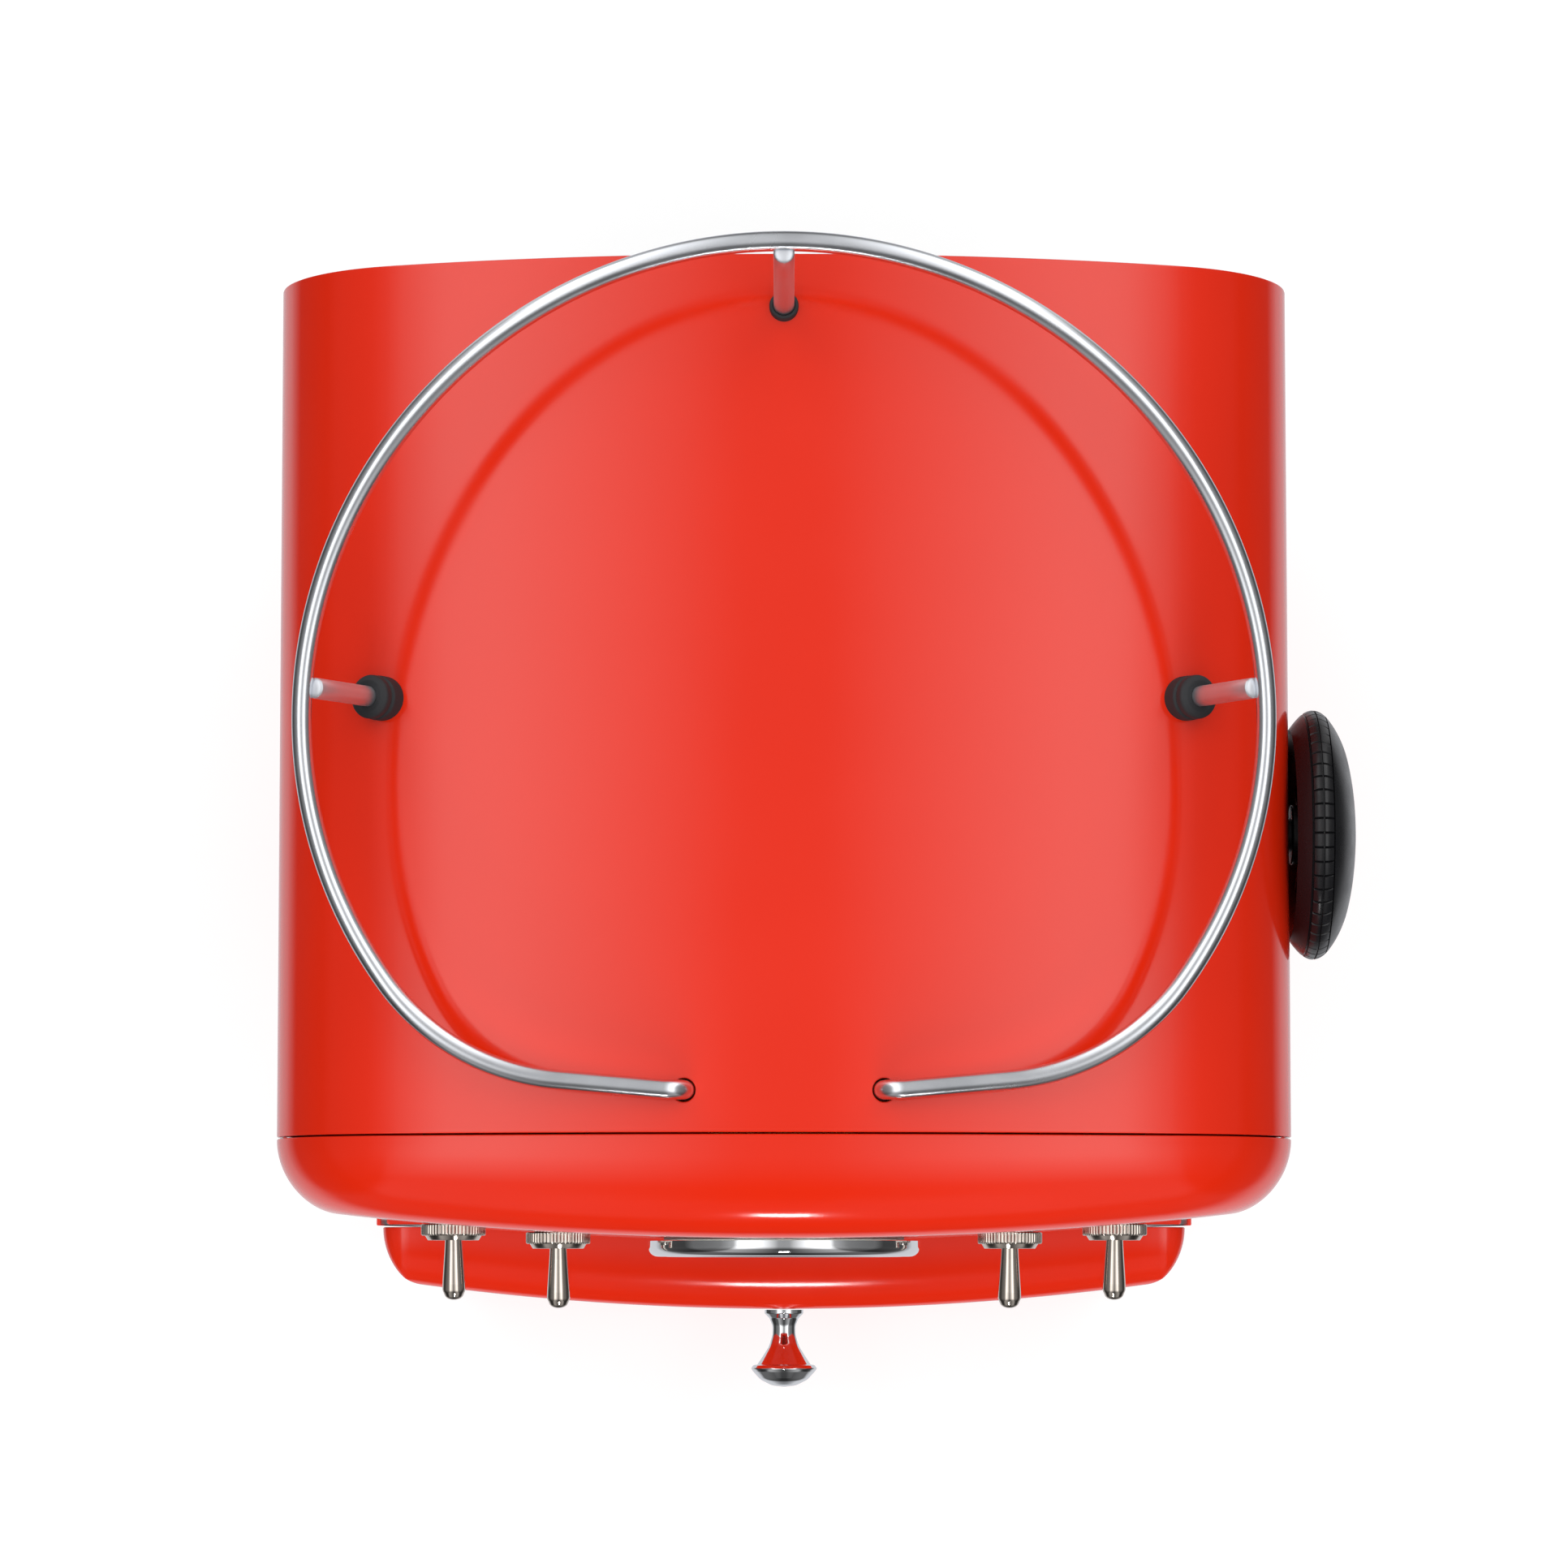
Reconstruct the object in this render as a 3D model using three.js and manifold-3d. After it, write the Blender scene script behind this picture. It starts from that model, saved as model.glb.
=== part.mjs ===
// Home espresso machine: an oval barrel-shaped head over a drip tray drawer, with a wire cup rail on top,
// four bat-handle toggles and a round dial on the front, a steam knob on the right and a tank at the back.
// Millimetres. +Z is up, the front faces -Y, and the origin is under the middle of the whole machine.
import * as THREE from "three";
import { mergeVertices } from "three/addons/utils/BufferGeometryUtils.js";
import Module from "manifold-3d";

const wasm = await Module();
wasm.setup();

// ---- Driving dimensions. Y is measured here from the seam between shell and front bezel. ----
const GAP = 0.3; // clearance between pieces that touch
const SHEET = 1.2; // thickness of the pressed steel panels

const HALF_WIDTH = 125; // of the head, at its widest line
const WIDEST_Z = 240;
const CONTROL_Z = 231; // height of the dial, the toggles and the steam knob
const CROWN_Z = 298;
const BELLY_Z = 166;
const ARCH_RADIUS = 288; // of the crown and of the belly
const WALL_RADIUS = 1307; // the side walls curve in towards the base
const SHELL_BACK_Y = 210.4;
const SHELL_BOTTOM_Z = 8;

const HEAD_FRONT = { edgeDepth: 16.5, bulge: 8, rounding: 15, wall: 2, rearY: -0.4 };
const BASE_FRONT = { edgeDepth: 12.4, bulge: 10.3, rounding: 12, wall: 2, rearY: -20.4 };
const BASE_SEAM_Y = -20;
const BASE_TOP_Z = 64;
const SPLASH_Y = 89.5; // front face of the panel behind the cups

// `ring` and `fillet` are radii of the wire's centre line in plan, before `squash` shortens it
// front to back. `centre` and `filletBack` place those circles behind the front run. The wire
// sweeps up by `rise` at the back.
const RAIL = {
  wire: 2.4, ring: 114.3, centre: 91, fillet: 55.4, filletBack: 57.5, squash: 0.958,
  hook: 5, endX: 23.5, frontY: 10, frontZ: 300.8, rise: 33.8, sweep: 2.6,
};
const SIDE_POST = { x: 96.8, y: 104.8 };
const REAR_POST_Y = 197.4;

const DIAL = { radius: 33.8, frontY: -29.3, z: CONTROL_Z };
const TOGGLE_X = { far_left: -82, left: -56, right: 56, far_right: 82 };
const TOGGLE = { nutRadius: 8, nutDepth: 4.1, reach: 15, z: CONTROL_Z, tiltDeg: 12 };

const STEAM = { y: 75.7, z: CONTROL_Z, knobRadius: 31.05, knobInnerX: 125.9, knobOuterX: 142.3 };
const WAND = { x: 88, y: 35, ballZ: 168, ball: 6, pipe: 3, tipZ: 97 };
const GROUP = { y: 42, outer: 35.5, mouth: 29.5, bottomZ: 158, flangeZ: 173.5 };

const DRAWER_KNOB = { z: 39, rootY: -43.4, length: 21.6, radius: 9.3 };
const TANK = { halfX: 62, frontY: 128, backY: 205.2, bottomZ: 78, topZ: 208, wall: 2.2 };
const TANK_VALVE = { z: 92, radius: 6 };
const PUMP = { x: -62, y: 115, z: 40 };
const FOOT = { x: 80, frontY: 5, rearY: 185, radius: 11, height: 7.7 };

// ---- Materials ----
const finish = (color, roughness, metalness) => ({ color, roughness, metalness });
const RED = finish(0xd8200f, 0.15, 0.0);
const CHROME = finish(0xd4d6da, 0.08, 1.0);
const NICKEL = finish(0xbcae9e, 0.18, 1.0);
const STEEL = finish(0xb4b6b8, 0.35, 1.0);
const BRASS = finish(0xb98d4a, 0.35, 1.0);
const COPPER = finish(0xb87048, 0.3, 1.0);
const BLACK = finish(0x141416, 0.35, 0.0);
const RUBBER = finish(0x1c1d20, 0.8, 0.0);
const SILICONE = finish(0xe8e4dc, 0.5, 0.0);
const DIAL_WHITE = finish(0xf2efe6, 0.5, 0.0);
const CLEAR = finish(0xdfe8ec, 0.05, 0.0);

// ---- Solid helpers ----
// A closed geometry as a manifold solid with its faces pointing out.
function solidOf(geometry) {
  const bare = geometry.clone();
  bare.deleteAttribute("normal");
  bare.deleteAttribute("uv");
  const merged = mergeVertices(bare, 1e-3);
  const vertProperties = merged.attributes.position.array;
  const build = (triVerts) => new wasm.Manifold(new wasm.Mesh({ numProp: 3, vertProperties, triVerts }));
  const triangles = Uint32Array.from(merged.index.array);
  const made = build(triangles);
  return made.volume() < 0 ? build(triangles.reverse()) : made;
}

const join = (first, ...rest) => rest.reduce((sum, s) => sum.add(s), first);
const cut = (first, ...rest) => rest.reduce((left, s) => left.subtract(s), first);

const machine = new THREE.Group();

// Adds one named piece to the machine, or to a group inside it.
function piece(name, solid, look, parent = machine) {
  const { vertProperties, triVerts } = solid.getMesh();
  const geometry = new THREE.BufferGeometry();
  geometry.setAttribute("position", new THREE.BufferAttribute(Float32Array.from(vertProperties), 3));
  geometry.setIndex(new THREE.BufferAttribute(Uint32Array.from(triVerts), 1));
  geometry.computeVertexNormals();
  const mesh = new THREE.Mesh(geometry, new THREE.MeshStandardMaterial(look));
  mesh.name = name;
  parent.add(mesh);
  return mesh;
}

function groupAt(x, y, z) {
  const group = new THREE.Group();
  group.position.set(x, y, z);
  machine.add(group);
  return group;
}

// ---- Outlines: lists of [a, b] ----
const range = (count) => Array.from({ length: count }, (_, i) => i);

// Points on an arc from one angle to another, ends included, angles in radians from the +a axis.
const arc = (a, b, radius, from, to, steps) =>
  range(steps + 1).map((i) => {
    const angle = from + ((to - from) * i) / steps;
    return [a + radius * Math.cos(angle), b + radius * Math.sin(angle)];
  });

// A polygon with each corner [a, b, radius, splits] rounded.
// splits divides the straight run after the corner.
function rounded(corners, steps = 4) {
  const count = corners.length;
  const bends = corners.map(([a, b, radius], i) => {
    const here = new THREE.Vector2(a, b);
    const back = new THREE.Vector2(...corners[(i + count - 1) % count].slice(0, 2)).sub(here).normalize();
    const ahead = new THREE.Vector2(...corners[(i + 1) % count].slice(0, 2)).sub(here).normalize();
    if (!radius) return [[a, b]];
    const half = Math.acos(back.dot(ahead)) / 2;
    const middle = back.clone().add(ahead).normalize();
    const centre = here.clone().addScaledVector(middle, radius / Math.sin(half));
    const start = here.clone().addScaledVector(back, radius / Math.tan(half)).sub(centre).angle();
    let sweep = here.clone().addScaledVector(ahead, radius / Math.tan(half)).sub(centre).angle() - start;
    if (sweep > Math.PI) sweep -= 2 * Math.PI;
    if (sweep < -Math.PI) sweep += 2 * Math.PI;
    return arc(centre.x, centre.y, radius, start, start + sweep, steps);
  });
  return bends.flatMap((bend, i) => {
    const from = bend[bend.length - 1];
    const to = bends[(i + 1) % count][0];
    const splits = corners[i][3] ?? 1;
    const run = range(splits - 1).map((k) => from.map((v, axis) => v + ((to[axis] - v) * (k + 1)) / splits));
    return [...bend, ...run];
  });
}

const box2 = (a0, b0, a1, b1, radius = 0, steps = 3) =>
  rounded([[a1, b0, radius], [a1, b1, radius], [a0, b1, radius], [a0, b0, radius]], steps);

const circle = (a, b, radius, steps = 24) => arc(a, b, radius, 0, 2 * Math.PI, steps).slice(0, steps);

// ---- Prisms, turned pieces and tubes ----
function prism(outline, holes, from, to, alongA, alongB) {
  const shape = new THREE.Shape(outline.map(([a, b]) => new THREE.Vector2(a, b)));
  const geometry = new THREE.ExtrudeGeometry(shape, { depth: to - from, bevelEnabled: false });
  const normal = alongA.clone().cross(alongB);
  geometry.translate(0, 0, from);
  geometry.applyMatrix4(new THREE.Matrix4().makeBasis(alongA, alongB, normal));
  return cut(solidOf(geometry), ...holes.map((hole) => prism(hole, [], from - 1, to + 1, alongA, alongB)));
}

const X = new THREE.Vector3(1, 0, 0);
const Y = new THREE.Vector3(0, 1, 0);
const Z = new THREE.Vector3(0, 0, 1);
const FORWARD = new THREE.Vector3(0, -1, 0);
const DOWN = new THREE.Vector3(0, 0, -1);

const upright = (outline, z0, z1, holes = []) => prism(outline, holes, z0, z1, X, Y); // outline in x, y
const lengthwise = (outline, y0, y1, holes = []) => prism(outline, holes, -y1, -y0, X, Z); // outline in x, z
const crosswise = (outline, x0, x1, holes = []) => prism(outline, holes, x0, x1, Y, Z); // outline in y, z
const box = (x0, x1, y0, y1, z0, z1) => upright(box2(x0, y0, x1, y1), z0, z1);
// A box and its mirror image.
const pair = (x0, x1, ...rest) => [box(x0, x1, ...rest), box(-x1, -x0, ...rest)];

const turnTo = (from, to) => new THREE.Quaternion().setFromUnitVectors(from, to.clone().normalize());

// A turned piece: profile is [radius, distance] along `towards`, starting at the point `at`.
function turned(profile, at, towards, segments = 24) {
  const geometry = new THREE.LatheGeometry(profile.map(([r, h]) => new THREE.Vector2(r, h)), segments);
  geometry.applyQuaternion(turnTo(Y, towards));
  geometry.translate(...at);
  return solidOf(geometry);
}

const cylinder = (radius, length) => [[0, 0], [radius, 0], [radius, length], [0, length]];
const ring = (inner, outer, length) => [
  [inner, 0], [outer, 0], [outer, length], [inner, length], [inner, 0],
];
const rod = (radius, at, towards, length, segments = 24) =>
  turned(cylinder(radius, length), at, towards, segments);

// A straight rod between two points.
function bar(radius, from, to, segments = 12) {
  const run = new THREE.Vector3(...to).sub(new THREE.Vector3(...from));
  return rod(radius, from, run, run.length(), segments);
}

function tube(curve, radius, steps, sides = 8) {
  const section = new THREE.Shape(circle(0, 0, radius, sides).map(([a, b]) => new THREE.Vector2(a, b)));
  return solidOf(new THREE.ExtrudeGeometry(section, { steps, extrudePath: curve, bevelEnabled: false }));
}

function through(...points) {
  return new THREE.CatmullRomCurve3(points.map((p) => new THREE.Vector3(...p)), false, "centripetal");
}

// A closed skin: a first point, rings with equal counts of points, and a last point.
function loft(first, rings, last) {
  const count = rings[0].length;
  const vertices = [first, ...rings.flat(), last];
  const at = (ringIndex, i) => 1 + ringIndex * count + (i % count);
  const faces = [];
  for (const i of range(count)) {
    faces.push(0, at(0, i), at(0, i + 1));
    for (const k of range(rings.length - 1)) {
      faces.push(at(k, i), at(k + 1, i), at(k + 1, i + 1), at(k, i), at(k + 1, i + 1), at(k, i + 1));
    }
    faces.push(at(rings.length - 1, i), vertices.length - 1, at(rings.length - 1, i + 1));
  }
  const geometry = new THREE.BufferGeometry();
  geometry.setAttribute("position", new THREE.Float32BufferAttribute(vertices.flat(), 3));
  geometry.setIndex(faces);
  return solidOf(geometry);
}

// ---- The head's oval and the walls below it ----
// Radius of the shoulder that joins an arch of this rise to the widest line.
function shoulderRadius(rise) {
  const fall = ARCH_RADIUS - rise;
  return (ARCH_RADIUS ** 2 - HALF_WIDTH ** 2 - fall ** 2) / (2 * (ARCH_RADIUS - HALF_WIDTH));
}

// Shoulder, arch and shoulder from the right side to the left:
// over the widest line for side 1, under it for -1.
function archPoints(edgeZ, side, inset, shoulderSteps = 6, archSteps = 10) {
  const rise = Math.abs(edgeZ - WIDEST_Z);
  const shoulder = shoulderRadius(rise);
  const shoulderX = HALF_WIDTH - shoulder;
  const archZ = rise - ARCH_RADIUS;
  const meet = Math.atan2(shoulderX, -archZ);
  const quarter = Math.PI / 2;
  return [
    ...arc(shoulderX, 0, shoulder - inset, 0, quarter - meet, shoulderSteps),
    ...arc(0, archZ, ARCH_RADIUS - inset, quarter - meet, quarter + meet, archSteps).slice(1, -1),
    ...arc(-shoulderX, 0, shoulder - inset, quarter + meet, Math.PI, shoulderSteps),
  ].map(([x, z]) => [x, WIDEST_Z + side * z]);
}

const headOutline = (inset) => [
  ...archPoints(CROWN_Z, 1, inset),
  ...archPoints(BELLY_Z, -1, inset).reverse().slice(1, -1),
];

const wallX = (z, inset = 0) =>
  HALF_WIDTH - WALL_RADIUS + Math.sqrt((WALL_RADIUS - inset) ** 2 - (WIDEST_Z - z) ** 2);

const WALL_STEPS = 6;
// The right wall from the bottom up to the widest line.
const wallPoints = (inset, bottomZ = SHELL_BOTTOM_Z) =>
  range(WALL_STEPS).map((i) => {
    const z = bottomZ + ((WIDEST_Z - bottomZ) * i) / WALL_STEPS;
    return [wallX(z, inset), z];
  });

// Wall, crown and wall, from the bottom right to the bottom left.
function archway(inset, bottomZ = SHELL_BOTTOM_Z) {
  const right = wallPoints(inset, bottomZ);
  return [...right, ...archPoints(CROWN_Z, 1, inset), ...right.map(([x, z]) => [-x, z]).reverse()];
}

// Height of the crown's outer face over x.
function crownHeight(x) {
  const shoulder = shoulderRadius(CROWN_Z - WIDEST_Z);
  const shoulderX = HALF_WIDTH - shoulder;
  const meetX = (ARCH_RADIUS * shoulderX) / (ARCH_RADIUS - shoulder);
  return Math.abs(x) < meetX
    ? CROWN_Z - ARCH_RADIUS + Math.sqrt(ARCH_RADIUS ** 2 - x ** 2)
    : WIDEST_Z + Math.sqrt(shoulder ** 2 - (Math.abs(x) - shoulderX) ** 2);
}

// ---- Rounded fronts: a cast shell that swells forward from an outline in x, z ----
const frontDepth = (form, x) => form.edgeDepth + form.bulge * (1 - (x / HALF_WIDTH) ** 2);

// Each nut sits in a flat round seat, cut as deep as the head's front lies at the nut's outer edge.
const toggleSeat = (x) => HEAD_FRONT.rearY - frontDepth(HEAD_FRONT, Math.abs(x) + TOGGLE.nutRadius);

// Rings from the rear edge of one skin to its middle. `skin` is 0 outside and the wall's thickness inside.
function frontRings(form, outline, centreZ, skin, edgeRings, faceRings) {
  const bent = range(edgeRings + 1).map((i) => {
    const angle = (Math.PI / 2) * (i / edgeRings);
    const inset = skin + form.rounding * (1 - Math.cos(angle));
    const reach = (x) => (frontDepth(form, x) - skin) * Math.sin(angle);
    return outline(inset).map(([x, z]) => [x, form.rearY - reach(x), z]);
  });
  const rim = bent[edgeRings];
  const face = range(faceRings).map((i) => {
    const share = 1 - (i + 1) / (faceRings + 1);
    return rim.map(([x, , z]) => {
      const faceX = x * share;
      return [faceX, form.rearY - (frontDepth(form, faceX) - skin), centreZ + (z - centreZ) * share];
    });
  });
  return [...bent, ...face];
}

function castFront(form, outline, centreZ) {
  const middle = (skin) => [0, form.rearY - (frontDepth(form, 0) - skin), centreZ];
  const outer = frontRings(form, outline, centreZ, 0, 4, 2);
  const inner = frontRings(form, outline, centreZ, form.wall, 3, 1);
  return loft(middle(0), [...outer.reverse(), ...inner], middle(form.wall));
}

// ---- Shell, bezel and panels ----
// Side view of what is open in front: above the base top, below the head and in front of the head's seam.
function openFront() {
  const headEdgeZ = 226;
  const columnY = 88;
  const farForward = -60;
  return rounded([
    [farForward, BASE_TOP_Z, 0],
    [columnY, BASE_TOP_Z, 35],
    [columnY, headEdgeZ, 40],
    [0, headEdgeZ, 0],
    [0, CROWN_Z + 20, 0],
    [farForward, CROWN_Z + 20, 0],
  ], 6);
}

const postFoot = (side) => [side * SIDE_POST.x, SIDE_POST.y, crownHeight(SIDE_POST.x)];

function addShell() {
  const section = [...archway(0), ...archway(SHEET).reverse()];
  const wrap = lengthwise(section, BASE_SEAM_Y, SHELL_BACK_Y);
  const cutters = [
    crosswise(openFront(), -HALF_WIDTH - 10, HALF_WIDTH + 10),
    rod(3.4, [RAIL.endX + 0.3, RAIL.frontY, CROWN_Z - 12], Z, 20, 16),
    rod(3.4, [-RAIL.endX - 0.3, RAIL.frontY, CROWN_Z - 12], Z, 20, 16),
    rod(6.5, [HALF_WIDTH - 12, STEAM.y, STEAM.z], X, 20, 16),
    ...[1, -1, 0].map((side) => {
      const { foot, direction } = railPost(side);
      return rod(3.2, foot.addScaledVector(direction, -8).toArray(), direction, 16, 16);
    }),
  ];
  piece("shell", cut(wrap, ...cutters), RED);
}

function addHeadBezel() {
  const front = castFront(HEAD_FRONT, headOutline, (CROWN_Z + BELLY_Z) / 2);
  const dialHole = rod(30.4, [0, 0, DIAL.z], FORWARD, 40, 32);
  const toggleHoles = Object.values(TOGGLE_X).flatMap((x) => [
    rod(6.2, [x, 0, TOGGLE.z], FORWARD, 40, 16),
    rod(TOGGLE.nutRadius + 0.4, [x, toggleSeat(x), TOGGLE.z], FORWARD, 10, 24),
  ]);
  piece("head_bezel", cut(front, dialHole, ...toggleHoles), RED);
}

const PAN_INSET = 1.8; // the belly pan tucks just inside the shell

function addBellyPan() {
  const under = (inset) => archPoints(BELLY_Z, -1, inset);
  const lipZ = WIDEST_Z + 1;
  const right = [PAN_INSET + SHEET, PAN_INSET].map((inset) => [wallX(lipZ, inset), lipZ]);
  const left = right.map(([x, z]) => [-x, z]).reverse();
  const section = [...right, ...under(PAN_INSET), ...left, ...under(PAN_INSET + SHEET).reverse()];
  const pan = lengthwise(section, 0.2, SPLASH_Y - 1.8);
  const groupHole = rod(GROUP.outer + 1.5, [0, GROUP.y, BELLY_Z - 10], Z, 30, 32);
  const wandHole = rod(6.3, [WAND.x, WAND.y, BELLY_Z], Z, 30, 16);
  const valveNotch = rod(9, [HALF_WIDTH - 12, STEAM.y, STEAM.z], X, 20, 20);
  piece("belly_pan", cut(pan, groupHole, wandHole, valveNotch), RED);
}

function addSplashPanel() {
  const bottomZ = 11;
  const wall = wallPoints(SHEET + GAP, bottomZ);
  const roof = archPoints(BELLY_Z, -1, PAN_INSET + SHEET + 0.7).filter(([, z]) => z < WIDEST_Z - 2);
  const outline = [...wall, ...roof, ...wall.map(([x, z]) => [-x, z]).reverse()];
  piece("splash_panel", lengthwise(outline, SPLASH_Y, SPLASH_Y + SHEET), RED);
}

const GRILLE = { halfX: 82, frontY: -9, backY: 80, radius: 10, thickness: 1.5 };

function addDeck() {
  const rearY = SPLASH_Y - GAP;
  const frontY = BASE_SEAM_Y + GAP;
  const hemDrop = 8;
  const half = wallX(BASE_TOP_Z - hemDrop, SHEET + GAP + 0.2);
  const opening = (grow) => {
    const reach = GRILLE.halfX + grow;
    return box2(-reach, GRILLE.frontY - grow, reach, GRILLE.backY + grow, GRILLE.radius + grow);
  };
  const top = upright(box2(-half, frontY, half, rearY), BASE_TOP_Z - SHEET, BASE_TOP_Z, [opening(0.5)]);
  const well = upright(opening(2), BASE_TOP_Z - 4.5, BASE_TOP_Z - SHEET, [opening(0.5)]);
  const ledge = upright(opening(2), BASE_TOP_Z - 5.5, BASE_TOP_Z - 4.5, [opening(-4)]);
  const hems = pair(half - SHEET, half, frontY, rearY, BASE_TOP_Z - hemDrop, BASE_TOP_Z - SHEET);
  piece("base_deck", join(top, well, ledge, ...hems), RED);
}

function addBasePlate() {
  const half = wallX(SHELL_BOTTOM_Z, SHEET + 0.6);
  const plate = box(-half, half, -17, 205.5, SHELL_BOTTOM_Z, SHELL_BOTTOM_Z + 2);
  const guides = pair(91, 93, -14, 86, SHELL_BOTTOM_Z + 2, SHELL_BOTTOM_Z + 16);
  piece("base_plate", join(plate, ...guides), STEEL);
}

const REAR_PANEL = { frontY: 206, bottomZ: 11, openHalfX: 66, openLowZ: 72, openHighZ: 240 };
const INLET = { x: -60, z: 40, halfX: 13.5, halfZ: 10 };

function addRearPanel() {
  const backY = REAR_PANEL.frontY + SHEET;
  const outline = archway(SHEET + 0.4, REAR_PANEL.bottomZ);
  const { openHalfX, openLowZ, openHighZ } = REAR_PANEL;
  const bay = box2(-openHalfX, openLowZ, openHalfX, openHighZ, 10);
  const { x, z, halfX, halfZ } = INLET;
  const socket = box2(x - halfX, z - halfZ, x + halfX, z + halfZ, 2, 2);
  const vents = range(7).map((i) => box2(-61 + i * 18, 252, -47 + i * 18, 256.5));
  piece("rear_panel", lengthwise(outline, REAR_PANEL.frontY, backY, [bay, socket, ...vents]), BLACK);
}

// Bent steel frame: two uprights and rear legs, the plate that carries boiler and group, and the tank shelf.
function addChassis() {
  const floorZ = SHELL_BOTTOM_Z + 2 + GAP;
  const plateZ = 179;
  const shelfZ = TANK.bottomZ - GAP - 2;
  const frame = join(
    box(-62, 62, 4, 95, plateZ, plateZ + 2.5),
    box(-80, 80, 94, 122, plateZ, plateZ + 2.5),
    box(-80, 80, 122, 204, shelfZ, shelfZ + 2),
    ...pair(78, 80, 94, 124, floorZ, plateZ + 2.5),
    ...pair(78, 80, 190, 204, floorZ, shelfZ + 1),
    ...pair(30, 78, 92.5, 94.5, 140, plateZ + 1),
  );
  const waterway = rod(18, [0, GROUP.y, plateZ - 5], Z, 15, 16);
  const hoseHole = rod(4.5, [-85, PUMP.y, PUMP.z], X, 10, 12);
  piece("chassis_frame", cut(frame, waterway, hoseHole), STEEL);
}

function addFeet() {
  const profile = [[0, 0], [9.5, 0], [FOOT.radius, 1.5], [FOOT.radius - 1, FOOT.height], [0, FOOT.height]];
  for (const [end, y] of [["front", FOOT.frontY], ["rear", FOOT.rearY]]) {
    for (const [side, x] of [["left", -FOOT.x], ["right", FOOT.x]]) {
      const foot = piece(`foot_${end}_${side}`, turned(profile, [0, 0, 0], Z, 20), RUBBER);
      foot.position.set(x, y, 0);
    }
  }
}

// ---- Cup rail: a wire ring that sweeps up to the back, two hooked ends and three posts ----
// A point of the rail: x across, `back` along its plan from the front run.
function onRail(x, back) {
  const share = Math.max(back, 0) / (RAIL.centre + RAIL.ring);
  return new THREE.Vector3(
    x, RAIL.frontY + back * RAIL.squash, RAIL.frontZ + RAIL.rise * share ** RAIL.sweep,
  );
}

// The right half of the wire's centre line, from its tail in the shell to the middle of the back.
function halfRail() {
  const quarter = Math.PI / 2;
  const hookX = RAIL.endX + RAIL.hook;
  const reach = RAIL.ring - RAIL.fillet;
  const turn = Math.acos((RAIL.centre - RAIL.filletBack) / reach);
  const filletX = reach * Math.sin(turn);
  // The front run leaves the hook at the slight angle that just touches the fillet's circle.
  const runX = filletX - hookX;
  const span = Math.hypot(runX, RAIL.filletBack);
  const tilt = Math.atan2(RAIL.filletBack, runX) - Math.asin(RAIL.fillet / span);
  const hook = arc(hookX, -RAIL.hook, RAIL.hook, Math.PI, quarter, 4);
  const fillet = arc(filletX, RAIL.filletBack, RAIL.fillet, tilt - quarter, turn - quarter, 6);
  const ring = arc(0, RAIL.centre, RAIL.ring, turn - quarter, quarter, 16);
  const tail = [0, 1].map((i) => [RAIL.endX, -RAIL.hook - 9 + 4.5 * i]);
  return [
    ...[...tail, ...hook].map(([x, lift]) => new THREE.Vector3(x, RAIL.frontY, RAIL.frontZ + lift)),
    ...[...fillet, ...ring.slice(1)].map(([x, back]) => onRail(x, back)),
  ];
}

function railPath() {
  const half = halfRail();
  const mirrored = half.slice(0, -1).reverse().map((p) => new THREE.Vector3(-p.x, p.y, p.z));
  return new THREE.CatmullRomCurve3([...half, ...mirrored]);
}

// A post's foot on the crown, its top against the ring's inner side, and its direction.
// side is 1, -1 or 0 for the rear post.
function railPost(side) {
  const back = (SIDE_POST.y - RAIL.frontY) / RAIL.squash;
  const short = 2.9;
  const top = side
    ? onRail(side * (Math.sqrt(RAIL.ring ** 2 - (back - RAIL.centre) ** 2) - short), back)
    : onRail(0, RAIL.centre + RAIL.ring).sub(new THREE.Vector3(0, short, 0));
  const foot = new THREE.Vector3(...(side ? postFoot(side) : [0, REAR_POST_Y, CROWN_Z]));
  return { top, foot, direction: top.clone().sub(foot).normalize() };
}

function addRail() {
  const posts = [1, -1, 0].map((side) => {
    const { top, foot, direction } = railPost(side);
    const below = foot.clone().addScaledVector(direction, -9);
    return bar(RAIL.wire + 0.1, below.toArray(), top.toArray(), 10);
  });
  piece("cup_rail", join(tube(railPath(), RAIL.wire, 76), ...posts), CHROME);

  // Two-tier rubber sleeves on the side posts and a thin washer on the rear one.
  const sleeve = [
    [2.8, 0.6], [5.3, 0.6], [5.3, 2.6], [4.7, 3.2], [5.2, 3.8], [5.2, 5.6], [4.2, 6.4],
    [2.8, 6.4], [2.8, 0.6],
  ];
  for (const [name, side] of [["left", -1], ["right", 1]]) {
    const { foot, direction } = railPost(side);
    const lift = foot.clone().addScaledVector(direction, 0.5);
    const grommet = turned(sleeve, lift.toArray(), direction, 20);
    piece(`rail_grommet_${name}`, cut(grommet, shellBlank()), RUBBER);
  }
  const rear = railPost(0);
  const washer = turned(ring(2.8, 3.6, 2.2), rear.foot.toArray(), rear.direction, 20);
  piece("rail_grommet_rear", cut(washer, shellBlank()), RUBBER);
}

// Everything inside the shell's outer face, grown by the clearance, to trim what sits on it.
const shellBlank = () => lengthwise(archway(-GAP), BASE_SEAM_Y, SHELL_BACK_Y);

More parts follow.
